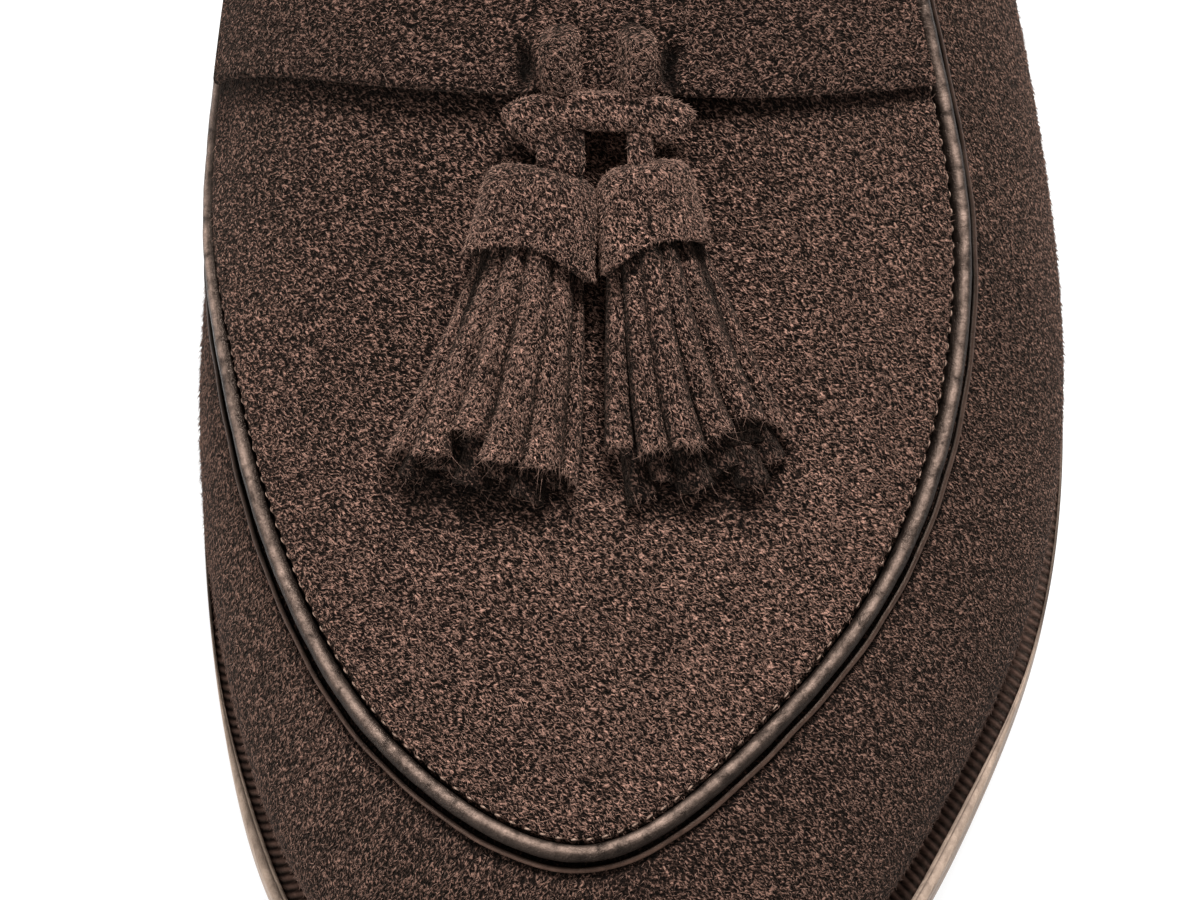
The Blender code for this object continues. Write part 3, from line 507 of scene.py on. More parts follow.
def shell_normal(share, level):
    step = 0.002
    round_it = shell(share + step, level) - shell(share - step, level)
    level = np.clip(level, -1 + step, 1 - step)
    up_it = shell(share, level + step) - shell(share, level - step)
    return unit(np.cross(round_it, up_it))


LOOP_SHARES = np.linspace(0, 1, 721)
SOLE_EDGE = offset_loop(LOOP_SHARES, edge(LOOP_SHARES))
BACK_END = WIDEST[0, 1] + SHEET_GAP + BACK_STRIP_THICKNESS
FRAME_SHIFT = np.array([
    -(SOLE_EDGE[:, 0].max() + SOLE_EDGE[:, 0].min()) / 2,
    -(max(SOLE_EDGE[:, 1].max(), BACK_END) + SOLE_EDGE[:, 1].min()) / 2,
    0.0,
])


# The apron's seam


def seam_line():
    medial = [(-row[1] * BALL_WIDTH, along_to_y(row[0])) for row in APRON_SEAM]
    lateral = [(row[2] * BALL_WIDTH, along_to_y(row[0])) for row in reversed(APRON_SEAM)]
    tip = (APRON_TIP[1] * BALL_WIDTH, along_to_y(APRON_TIP[0]))
    points = np.array(medial + [tip] + lateral)
    stops = chords(points)
    fine = smooth(stops, points)(np.linspace(0, stops[-1], 1601))
    ahead = np.gradient(fine, axis=0)
    return fine, unit(np.stack([-ahead[:, 1], ahead[:, 0]], axis=1))


SEAM, SEAM_INWARD = seam_line()
SEAM_RUN = chords(SEAM)


def seam_at(run, inset):
    """Plan position at a run along the seam, moved towards the apron's middle."""
    inward = between(run, SEAM_RUN, SEAM_INWARD)
    return between(run, SEAM_RUN, SEAM) + inward * np.asarray(inset)[..., None]


def seam_flatness(run):
    """Share of a distance across the seam that is left in plan, less where the last is steep."""
    reach_out = 0.0009
    inner, outer = (seam_at(run, np.full(len(run), sign * reach_out)) for sign in (1, -1))
    drop = last_height(inner[:, 0], inner[:, 1]) - last_height(outer[:, 0], outer[:, 1])
    return 1 / np.sqrt(1 + (drop / (2 * reach_out)) ** 2)


def seam_side(y, lateral, inset):
    seam = SEAM + SEAM_INWARD * inset
    tip = int(np.argmin(seam[:, 1]))
    part = seam[tip:] if lateral else seam[tip::-1]
    return np.interp(y, part[:, 1], part[:, 0])


def seam_distance(plan):
    """Distance in plan from each point to the seam, with inside the apron below zero."""
    seam, inward = SEAM[::4], SEAM_INWARD[::4]
    found = []
    for block in np.array_split(plan, max(1, len(plan) // 4000)):
        apart = block[:, None, :] - seam[None]
        gaps = np.linalg.norm(apart, axis=2)
        near = gaps.argmin(axis=1)
        rows = np.arange(len(block))
        side = (apart[rows, near] * inward[near]).sum(axis=1)
        found.append(np.where(side > 0, -1, 1) * gaps[rows, near])
    return np.concatenate(found)


# Mesh tools. A shape is its points and a list of face blocks


def turns(sides):
    return np.arange(sides) * 2 * math.pi / sides


def bell(at, middle, width, power=2):
    """Rise to 1 at the middle and fall away past the width."""
    return np.exp(-np.abs((at - middle) / width) ** power)


def blunt(wave, power):
    """Sine or cosine with broader tops."""
    return np.sign(wave) * np.abs(wave) ** power


def triangles(faces):
    blocks = [block[:, :3] for block in faces]
    blocks += [block[:, [0, 2, 3]] for block in faces if block.shape[1] == 4]
    return np.concatenate(blocks)


def outward(points, faces):
    """Turn a closed shape's faces to point out."""
    a, b, c = points[triangles(faces)].transpose(1, 0, 2)
    if (np.cross(a, b) * c).sum() < 0:
        faces = [block[:, ::-1] for block in faces]
    return points, faces


def swept(sections, closed=False):
    """Skin a run of equal point rings, with a fan over each open end."""
    sections = np.asarray(sections, float)
    count, ring, _ = sections.shape
    points = sections.reshape(-1, 3)
    row = np.arange(count if closed else count - 1)[:, None] * ring
    next_row = (row + ring) % len(points)
    here = np.arange(ring)
    after = (here + 1) % ring
    sides = np.stack([row + here, row + after, next_row + after, next_row + here], axis=-1)
    faces = [sides.reshape(-1, 4)]
    if not closed:
        first, last = np.full(ring, len(points)), len(points) - ring
        points = np.concatenate([points, sections[[0, -1]].mean(axis=1)])
        faces.append(np.stack([after, here, first], axis=1))
        faces.append(np.stack([last + here, last + after, first + 1], axis=1))
    return outward(points, faces)


def toned(sections, tone, ends=(0, 0)):
    """Skin rings, and give a tone to each of their points and to the middles of the ends."""
    tone = np.broadcast_to(tone, sections.shape[:2]).ravel()
    return swept(sections), np.concatenate([tone, ends])


def join(shapes):
    points, faces, start = [], [], 0
    for part_points, part_faces in shapes:
        points.append(part_points)
        faces += [block + start for block in part_faces]
        start += len(part_points)
    return np.concatenate(points), faces


def copies(sections):
    """Skin many equal runs of rings at once: sections are (copy, ring, point, xyz)."""
    many = len(sections)
    first_points, first_faces = swept(sections[0])
    ends = sections[:, [0, -1]].mean(axis=2)
    points = np.concatenate([sections.reshape(many, -1, 3), ends], axis=1)
    starts = (np.arange(many) * len(first_points))[:, None, None]
    faces = [(block[None] + starts).reshape(-1, block.shape[1]) for block in first_faces]
    return points.reshape(-1, 3), faces


def bead(points, radius, up, sides, drop=1.0, wide=1.0):
    """Rings of a round bead along points. Its lower half may reach further down by drop."""
    ahead = unit(np.gradient(points, axis=0))
    across = unit(np.cross(ahead, up))
    lift = np.cross(across, ahead)
    turn = turns(sides)
    low = np.where(np.sin(turn) < 0, drop, 1.0)
    radius = np.broadcast_to(radius, len(points))[:, None, None]
    ring = (across[:, None] * (np.cos(turn) * wide)[:, None]
            + lift[:, None] * (np.sin(turn) * low)[:, None])
    return points[:, None] + radius * ring


def bead_side(rings):
    """Where round a bead's section each point lies: from -1 on its -X side to 1."""
    half = rings.shape[1] // 2
    return np.cos(turns(2 * half)) * (1 if rings[0, 0, 0] < rings[0, half, 0] else -1)


def stitches(centres, ahead, up, length, radius, sides=6):
    """Small rounded threads lying along ahead."""
    ahead, up = unit(ahead)[:, None], unit(up)[:, None]
    across = np.cross(ahead, up)
    at = np.array([-1, -0.86, -0.45, 0, 0.45, 0.86, 1])[:, None]
    size = np.array([0.35, 0.75, 1, 1, 1, 0.75, 0.35]) * radius
    turn = turns(sides)[:, None]
    line = centres[:, None] + ahead * at * length / 2 - up * 1.2 * radius * at**2
    ring = across * np.cos(turn) + up * np.sin(turn)
    return copies(line[:, :, None] + ring[:, None] * size[:, None, None])


def line_stitches(name, line, up, slot, pitch=LONG_STITCH):
    """Lay stitches at an even pitch along a line."""
    run = chords(line)
    count = int(run[-1] / pitch)
    stops = (np.arange(count) + 0.5) * run[-1] / count
    ahead = between(stops, run, np.gradient(line, axis=0))
    up = between(stops, run, np.broadcast_to(up, line.shape))
    shape = stitches(between(stops, run, line), ahead, up, pitch * 0.66, STITCH_RADIUS)
    piece(name, shape, THREAD)


def plate_ring(width, thickness, flat, turn):
    """Offsets and heights round flat sections with round edges, one for each width."""
    radius = thickness / 2
    width = np.asarray(width, float)[:, None]
    arc = np.linspace(0, math.pi, turn + 2)[1:-1]
    bulge, rise = radius * np.sin(arc), radius * np.cos(arc)
    top = radius + (width - thickness) * np.linspace(0, 1, flat)
    far, near = width - radius + bulge, radius - bulge + 0 * width
    offsets = np.concatenate([top, far, top[:, ::-1], near], axis=1)
    heights = np.concatenate([
        np.full(flat, thickness), radius + rise, np.zeros(flat), radius - rise,
    ])
    return offsets, np.broadcast_to(heights, offsets.shape)


def lifted(loop, base, level):
    """Ring over a plan loop, a level above a base height that follows y."""
    return np.column_stack([loop, base(loop[:, 1]) + level])


def piece(name, shape, finish, replaced=(), tone=None, inner=None):
    """Make a piece that rides on the shoe. inner is a second finish and its faces."""
    points, faces = shape
    mesh = bpy.data.meshes.new(name)
    mesh.vertices.add(len(points))
    mesh.vertices.foreach_set("co", (points + FRAME_SHIFT).astype(np.float32).ravel())
    corners = np.concatenate([block.ravel() for block in faces])
    sizes = np.concatenate([np.full(len(block), block.shape[1]) for block in faces])
    mesh.loops.add(len(corners))
    mesh.loops.foreach_set("vertex_index", corners.astype(np.int32))
    mesh.polygons.add(len(sizes))
    starts = np.concatenate([[0], np.cumsum(sizes)[:-1]])
    mesh.polygons.foreach_set("loop_start", starts.astype(np.int32))
    mesh.materials.append(finish)
    if inner is not None:
        mesh.materials.append(inner[0])
        mesh.polygons.foreach_set("material_index", inner[1].astype(np.int32))
    mesh.update(calc_edges=True)
    mesh.shade_smooth()
    if tone is not None:
        layer = mesh.attributes.new("tone", "FLOAT", "POINT")
        layer.data.foreach_set("value", np.asarray(tone, np.float32))
    made = bpy.data.objects.new(name, mesh)
    bpy.context.scene.collection.objects.link(made)
    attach(made, "root")
    if replaced:
        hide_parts(*replaced)


# Finishes


def feed(tree, made, inputs):
    """Link each input that is given as a socket and set any other."""
    for name, value in dict(inputs).items():
        if isinstance(value, bpy.types.NodeSocket):
            tree.links.new(value, made.inputs[name])
        else:
            made.inputs[name].default_value = value


def add_node(tree, kind, inputs=(), **settings):
    made = tree.nodes.new(kind)
    for name, value in settings.items():
        setattr(made, name, value)
    feed(tree, made, inputs)
    return made


def new_finish(name):
    made = bpy.data.materials.new(name)
    made.use_nodes = True
    return made, made.node_tree, made.node_tree.nodes["Principled BSDF"]


def noise(tree, size, detail=2.0, distortion=0.0, turn=0.0, rough=0.55):
    """Noise whose grains have a size along x, y and z, in metres, turned about z."""
    size = (size, size, size) if isinstance(size, float) else size
    place = add_node(tree, "ShaderNodeTexCoord").outputs["Object"]
    mapping = add_node(tree, "ShaderNodeMapping", {
        "Vector": place, "Scale": size, "Rotation": (0, 0, turn),
    }, vector_type="TEXTURE")
    return add_node(tree, "ShaderNodeTexNoise", {
        "Vector": mapping.outputs["Vector"], "Scale": 1.0, "Detail": detail,
        "Roughness": rough, "Distortion": distortion,
    }).outputs["Fac"]


def maths(tree, kind, first, second):
    return add_node(tree, "ShaderNodeMath", {0: first, 1: second}, operation=kind).outputs[0]


def ramp(tree, value, colour, stops):
    """Colour that changes with a value: stops are places and factors of the colour."""
    made = add_node(tree, "ShaderNodeValToRGB", {"Fac": value})
    line = made.color_ramp
    while len(line.elements) < len(stops):
        line.elements.new(0.5)
    for element, (at, factor) in zip(line.elements, stops):
        element.position = at
        element.color = (*[min(part * factor, 1.0) for part in colour], 1)
    return made.outputs["Color"]


def shaded(tree, colour, factor):
    """Multiply a colour by a value."""
    grey = add_node(tree, "ShaderNodeCombineColor", dict.fromkeys(range(3), factor))
    return add_node(tree, "ShaderNodeMix", {
        "Factor": 1.0, "A": colour, "B": grey.outputs[0],
    }, data_type="RGBA", blend_type="MULTIPLY").outputs["Result"]


def spread(tree, value, low, high):
    """Spread the middle of a noise over a range."""
    return add_node(tree, "ShaderNodeMapRange", {
        "Value": value, "From Min": 0.3, "From Max": 0.7, "To Min": low, "To Max": high,
    }).outputs["Result"]


def brightness(tree, *factors):
    """Product of value ranges of noises, and one less the tone attribute."""
    # The tone attribute darkens the colour where it is above zero and lightens it below zero. It
    # carries painted shade and painted highlights on most pieces, and on the welt also its stained
    # rim and scored lines.
    tone = add_node(tree, "ShaderNodeAttribute", attribute_name="tone").outputs["Fac"]
    total = maths(tree, "SUBTRACT", 1.0, tone)
    for factor in factors:
        total = maths(tree, "MULTIPLY", total, spread(tree, *factor))
    return total


def bump(tree, heights):
    """Stack bumps of height value and depth in metres."""
    under = {}
    for value, depth in heights:
        made = add_node(tree, "ShaderNodeBump", {
            "Strength": 1.0, "Distance": depth, "Height": value, **under,
        })
        under = {"Normal": made.outputs["Normal"]}
    return made.outputs["Normal"]


def suede(name, colour, turn, other_turn=None):
    """Brushed nap: short crossing streaks, dark between, over soft brush marks."""
    made, tree, shader = new_finish(name)

    def streaks(angle):
        fine = noise(tree, (0.00024, 0.00060, 0.0005), 1.0, 0.6, angle, 0.4)
        cross = noise(tree, (0.00024, 0.00054, 0.0005), 1.0, 0.6, angle + 0.8, 0.4)
        return maths(tree, "MAXIMUM", fine, cross)

    pile = streaks(turn)
    if other_turn is not None:
        # The nap turns from one side of the shoe to the other
        place = add_node(tree, "ShaderNodeTexCoord").outputs["Object"]
        apart = add_node(tree, "ShaderNodeSeparateXYZ", {0: place})
        side = add_node(tree, "ShaderNodeMapRange", {
            "Value": apart.outputs["X"], "From Min": -0.012, "From Max": 0.012,
        }, interpolation_type="SMOOTHSTEP").outputs["Result"]
        pile = add_node(tree, "ShaderNodeMix", {
            "Factor": side, 2: pile, 3: streaks(other_turn),
        }, data_type="FLOAT").outputs[0]
    tuft = noise(tree, 0.0011, 2.0, 0.4)
    brush = noise(tree, (0.009, 0.016, 0.012), 2.0, 0.6, turn)
    patch = noise(tree, 0.035, 1.0, 0.3)
    shade = ramp(tree, pile, colour, [(0.48, 0.02), (0.55, 0.25), (0.61, 1.40), (0.72, 7.5)])
    level = brightness(tree, (tuft, 0.86, 1.14), (brush, 0.88, 1.12), (patch, 0.9, 1.1))
    feed(tree, shader, {
        "Base Color": shaded(tree, shade, level), "Roughness": 0.92, "Sheen Weight": 0.06,
        "Sheen Roughness": 0.5, "Sheen Tint": (0.9, 0.64, 0.5, 1), "Specular IOR Level": 0.04,
        "Normal": bump(tree, [(tuft, 0.00025), (pile, 0.00095)]),
    })
    return made


def fibre(name, colour):
    """Single fibres, each lit a little differently along the shoe."""
    made, tree, shader = new_finish(name)
    shade = ramp(tree, noise(tree, 0.0006, 1.0), colour, [(0.3, 0.45), (0.7, 1.7)])
    feed(tree, shader, {"Base Color": shade, "Roughness": 0.75, "Specular IOR Level": 0.2})
    return made


def leather(name, colour, roughness, grain, depth, coat=0.0, wear=0.15, streak=None, gloss=0.5):
    """Smooth or waxed leather: pores, crease lines and uneven wax."""
    made, tree, shader = new_finish(name)
    pores = noise(tree, grain, 3.0, 0.8)
    layers = noise(tree, streak or grain * 6, 3.0, 0.4)
    patch = noise(tree, 0.012, 2.0, 0.5)
    worn = [(0.30, 1 - 2.5 * wear), (0.50, 1.0), (0.72, 1 + 2.3 * wear)]
    level = brightness(tree, (pores, 1 - wear, 1 + wear), (patch, 0.88, 1.12))
    feed(tree, shader, {
        "Base Color": shaded(tree, ramp(tree, layers, colour, worn), level),
        "Roughness": spread(tree, patch, roughness - 0.09, roughness + 0.12),
        "Specular IOR Level": gloss, "Specular Tint": (1.0, 0.74, 0.60, 1),
        "Coat Weight": coat, "Coat Tint": (1.0, 0.86, 0.76, 1), "Coat Roughness": 0.25,
        "Normal": bump(tree, [(layers, depth * 1.5), (pores, depth)]),
    })
    return made


# The suedes are one suede in lighter and darker copies, partly the pieces' own shade and partly
# painted shade: the vamp and strap are made darker and the apron and tassels lighter for how the
# light falls on them. The two fibre finishes are copies in the same way.
VAMP_SUEDE = suede("vamp_suede", (0.027, 0.0151, 0.0113), 2.4, 0.75)
APRON_SUEDE = suede("apron_suede", (0.042, 0.0235, 0.0177), 0.8)
STRAP_SUEDE = suede("strap_suede", (0.030, 0.0168, 0.0127), 1.25)
TASSEL_SUEDE = suede("tassel_suede", (0.044, 0.0246, 0.0186), 0.3)
FIBRE_LIGHT = fibre("fibre_light", (0.170, 0.100, 0.075))
FIBRE_DARK = fibre("fibre_dark", (0.130, 0.076, 0.057))
PIPING_LEATHER = leather("piping_leather", (0.022, 0.0154, 0.0123), 0.36, 0.00028, 0.00018,
                         wear=0.34, gloss=0.28)
FOLD_LEATHER = leather("fold_leather", (0.036, 0.0205, 0.0150), 0.42, 0.00022, 0.00006, gloss=0.25)
THREAD = leather("waxed_thread", (0.24, 0.160, 0.122), 0.42, 0.00012, 0.00006)
WELT_LEATHER = leather("welt_leather", (0.019, 0.0108, 0.0082), 0.5, 0.0003, 0.00008, gloss=0.2)
EDGE_LEATHER = leather("edge_leather", (0.36, 0.268, 0.208), 0.55, 0.0003, 0.00006,
                       streak=(0.004, 0.004, 0.00025))
HEEL_LEATHER = leather("heel_leather", (0.060, 0.034, 0.022), 0.38, 0.0003, 0.00006, coat=0.3,
                       streak=(0.006, 0.006, 0.0003))
HEEL_RUBBER = leather("heel_rubber", (0.012, 0.0105, 0.010), 0.75, 0.0004, 0.00006)
LINING = leather("lining_leather", (0.22, 0.148, 0.096), 0.55, 0.0004, 0.00006, wear=0.05)


# Sole and heel


def sole_plate():
    """Outsole with a rounded, waxed edge, scored lines round it and a channel underneath."""
    shares = np.arange(720) / 720
    out = edge(shares)
    rim = offset_loop(shares, out)
    rings = [lifted(rim * share, sole_rise, 0.0) for share in (0.1, 0.35, 0.6, 0.8)]
    rings += [lifted(offset_loop(shares, out - inset), sole_rise, level) for inset, level in (
        (0.0070, 0.0), (0.0062, 0.0004), (0.0058, 0.0004), (0.0050, 0.0), (0.0012, 0.0),
        (0.0005, 0.0002), (0.00012, 0.0007), (0.0, 0.0014), (-0.00005, 0.0022),
        (0.00018, 0.00235), (-0.00005, 0.0025), (0.0, 0.0034), (0.0001, 0.0041),
        (0.0004, 0.0047), (0.0009, OUTSOLE_THICKNESS), (0.012, OUTSOLE_THICKNESS),
    )]
    rings.append(lifted(rim * 0.1, sole_rise, OUTSOLE_THICKNESS))
    piece("outsole_leather", swept(rings), EDGE_LEATHER, ["outsole"])


def ribbed_welt():
    """Welt whose inner part is wheeled into ribs, with a paler rim."""
    points_per_rib = 5
    columns = round(ROUND_RUN / RIB_PITCH) * points_per_rib
    phase = np.arange(columns) / points_per_rib
    shares = np.arange(columns) / columns
    out, feather = edge(shares), -tuck(shares)
    toward_toe = -offset_loop(shares, out)[:, 1]
    rings, tones = [], []

    def add(inset, level, tone):
        rings.append(lifted(offset_loop(shares, inset), welt_floor, level))
        tones.append(np.broadcast_to(tone, columns))

    for level in (0.0, WELT_THICKNESS):
        add(feather - LASTING_MARGIN * 0.9, level, 0.0)
    # The pale rim outside the ribs widens toward the toe
    ribs_end = out - feather - 0.0004 - 0.0014 * ease(RIM_REAR_Y, RIM_FRONT_Y, toward_toe)
    # Painted light: the rib crests are painted lighter against the shade they lie in, and the
    # grooves between them are painted darker.
    for across in (0.0, 0.2, 0.4, 0.6, 0.8, 0.94, 1.0):
        bar = np.abs(np.sin(math.pi * (phase + across * 1.4)))
        swell_in = math.sin(math.pi * np.clip(across, 0.05, 0.95)) ** 0.5
        rise = swell_in * (bar**0.7 * 1.5 - 0.6) - 0.75
        add(feather + ribs_end * across, WELT_THICKNESS + RIB_HEIGHT * rise,
            0.96 - (7.2 if across < 0.9 else 3.0) * bar**2.5)
    pale = len(rings)
    # Behind the forepart the rim is stained as dark as the welt
    stained = 0.82 * (1 - ease(RIM_REAR_Y - 0.004, RIM_REAR_Y + 0.003, toward_toe))
    for across, level, tone in ((0.08, 0.0029, 0.1), (0.28, 0.0030, -0.2), (0.36, 0.0029, 0.7),
                                (0.44, 0.0030, 0.0), (0.85, 0.0029, 0.0), (1.0, 0.0024, 0.0),
                                (1.0, 0.0006, 0.0), (0.95, 0.0, 0.6)):
        add(feather + ribs_end + (out - feather - ribs_end) * across, level,
            np.maximum(tone, stained))
    shape = swept(rings, closed=True)
    is_pale = np.concatenate([block.min(axis=1) >= pale * columns for block in shape[1]])
    piece("ribbed_welt", shape, WELT_LEATHER, ["welt"], np.concatenate(tones),
          (EDGE_LEATHER, is_pale))


def heel_loop(margin, rounding):
    """D-shaped loop of the heel, from its medial corner round the back to the breast."""
    toe = int(np.argmin(SOLE_EDGE[:, 1]))
    medial, lateral = SOLE_EDGE[toe::-1], SOLE_EDGE[toe:]
    back = min(medial[-1, 1], lateral[-1, 1])
    breast = back - HEEL_LENGTH + rounding
    inset = margin + rounding
    s = np.sin(np.linspace(0, 1, 70) * math.pi / 2)
    y = breast + (back - inset - GAP - breast) * s
    left = np.interp(y + inset, medial[:, 1], medial[:, 0]) + inset
    right = np.interp(y + inset, lateral[:, 1], lateral[:, 0]) - inset
    rear_x = left[-1] + (right[-1] - left[-1]) * np.linspace(0, 1, 12)[1:-1]
    across = np.linspace(1, -1, 26)[1:-1]
    front_x = (left[0] + right[0]) / 2 + (right[0] - left[0]) / 2 * across
    front_y = breast + HEEL_BREAST_HOLLOW * (1 - across**2)
    return np.stack([
        np.concatenate([left, rear_x, right[::-1], front_x]),
        np.concatenate([y, np.full(len(rear_x), y[-1]), y[::-1], front_y]),
    ], axis=1)


def heel_stack():
    """Top lift and leather lifts, each with slightly rounded edges."""
    back = SOLE_EDGE[:, 1].max()
    lift = (sole_rise(SOLE_EDGE[0, 1] - HEEL_LENGTH) - TOP_LIFT_THICKNESS) / HEEL_LIFTS
    layers = [("top_lift", HEEL_RUBBER, "heel_rubber", 0.0, lambda y: TOP_LIFT_THICKNESS + 0 * y)]
    for number in range(HEEL_LIFTS):
        low = TOP_LIFT_THICKNESS + number * lift + GAP
        highest = number == HEEL_LIFTS - 1
        top = (lambda y: sole_rise(y) - GAP * 0.6) if highest else (
            lambda y, low=low: low + lift - GAP + 0 * y)
        layers.append((f"heel_lift_{HEEL_LIFTS - number}", HEEL_LEATHER, "heel_leather", low, top))
    for name, finish, slot, low, top in layers:
        rings = []
        for rounding, share in ((0.02, 0.0), (0.0008, 0.0), (0.0003, 0.03), (0.0, 0.12),
                                (-0.0001, 0.5), (0.0, 0.88), (0.0003, 0.97), (0.0008, 1.0),
                                (0.02, 1.0)):
            taper = HEEL_TAPER * (1 - (low + (top(back) - low) * share) / HEEL_HEIGHT)
            loop = heel_loop(taper + OUTSOLE_CHAMFER, rounding)
            rings.append(np.column_stack([loop, low + (top(loop[:, 1]) - low) * share]))
        piece(f"{name}_edge", swept(rings), finish, [name])


def inner_sole():
    """Insole with a padded heel sock stitched round its edge."""
    shares = np.arange(480) / 480
    inset = -0.75 * tuck(shares) - 1.5 * UPPER_WALL - GAP
    rim = offset_loop(shares, inset)
    top = INSOLE_THICKNESS
    rings = [lifted(rim * 0.2, insole_floor, 0.0)]
    rings += [lifted(offset_loop(shares, inset - back), insole_floor, level) for back, level in (
        (0.0006, 0.0), (0.0, 0.0006), (0.0, top - 0.0006), (0.0006, top), (0.004, top + 0.0002),
    )]
    rings += [lifted(rim * share, insole_floor, top + 0.0002) for share in (0.8, 0.55, 0.3, 0.1)]
    piece("insole_leather", swept(rings), LINING, ["insole"])

    # The sock covers the heel and ends in a curve at the waist
    centre = np.array([0.0, along_to_y(0.2)])
    turn = turns(300)
    direction = np.stack([np.cos(turn), np.sin(turn)], axis=1)
    inner = offset_loop(np.arange(720) / 720, inset.mean() - 0.0025) - centre
    angle = np.arctan2(inner[:, 1], inner[:, 0])
    wall = np.interp(turn, angle, np.linalg.norm(inner, axis=1), period=2 * math.pi)
    front = 0.058 / np.maximum(-np.sin(turn), 0.2) + 0.01 * np.cos(turn) ** 2
    wall = np.where(np.sin(turn) < -0.2, np.minimum(wall, front), wall)
    sock = direction * wall[:, None]
    rings = [lifted(centre + sock * share, insole_floor, top + level) for share, level in (
        (0.3, 0.0003), (0.98, 0.0003), (1.0, 0.0005), (0.997, 0.0009), (0.985, 0.00115),
        (0.955, 0.0011), (0.93, 0.0013), (0.6, 0.0019), (0.2, 0.0020),
    )]
    piece("heel_sock", swept(rings), LINING)
    seam = lifted(centre + sock * 0.957, insole_floor, top + 0.0013)
    line_stitches("sock_stitching", np.concatenate([seam, seam[:1]]), (0.0, 0.0, 1.0),
                  "insole_leather", 0.003)


# Upper


def upper_shape():
    """Whole wall of the upper as one skin, with a groove beside the piping."""
    columns = 560
    shares = np.arange(columns) / columns
    outer_levels = np.concatenate([
        -np.cos(np.linspace(0, 1, 15) * math.pi / 2)[:-1],
        0.25 * np.linspace(0, 1, 46),
        0.25 + 0.75 * np.linspace(0, 1, 33)[1:],
    ])
    outer = shell(shares[None], outer_levels[:, None])
    gap = seam_distance(outer[..., :2].reshape(-1, 2)).reshape(outer.shape[:2])
    on_top = outer_levels[:, None] > 0
    behind = ease(along_to_y(0.47), along_to_y(0.52), outer[..., 1])
    rows = np.gradient(outer, axis=0)
    round_it = np.roll(outer, -1, axis=1) - np.roll(outer, 1, axis=1)
    normal = unit(np.cross(round_it, rows))
    gap = np.abs(gap) / np.clip(np.abs(normal[..., 2]), 0.3, 1)
    beside = (1 - ease(PIPING_RADIUS, GROOVE_REACH, gap)) * on_top * behind
    outer = outer - normal * (GROOVE_DEPTH * beside)[..., None]
    margin = offset_loop(shares, -tuck(shares) - LASTING_MARGIN)
    margin_low = lifted(margin, feather_height, 0.0)[None]
    keep = np.concatenate([np.arange(0, 14, 3), np.arange(14, len(outer_levels), 4)])
    inner = (outer - normal * UPPER_WALL)[keep][::-1]
    rim = outer[-1:] - normal[-1:] * UPPER_WALL / 2 + [0, 0, 0.0004]
    rings = np.concatenate([margin_low, outer, rim, inner, margin_low + [0, 0, UPPER_WALL]])
    tone = np.zeros(rings.shape[:2])
    # Painted shadow on the vamp in the groove beside the piping, and painted shade low on the wall
    # where it turns under to the welt.
    foot = 0.35 * ease(-0.72, -1.0, outer_levels)[:, None]
    tone[1:len(outer_levels) + 1] = np.maximum(0.80 * beside, foot)
    points, faces = swept(rings, closed=True)
    lining_start = (len(outer_levels) + 1) * columns
    lined = np.concatenate([block[:, 0] >= lining_start for block in faces])
    return (points, faces), tone.ravel(), lined


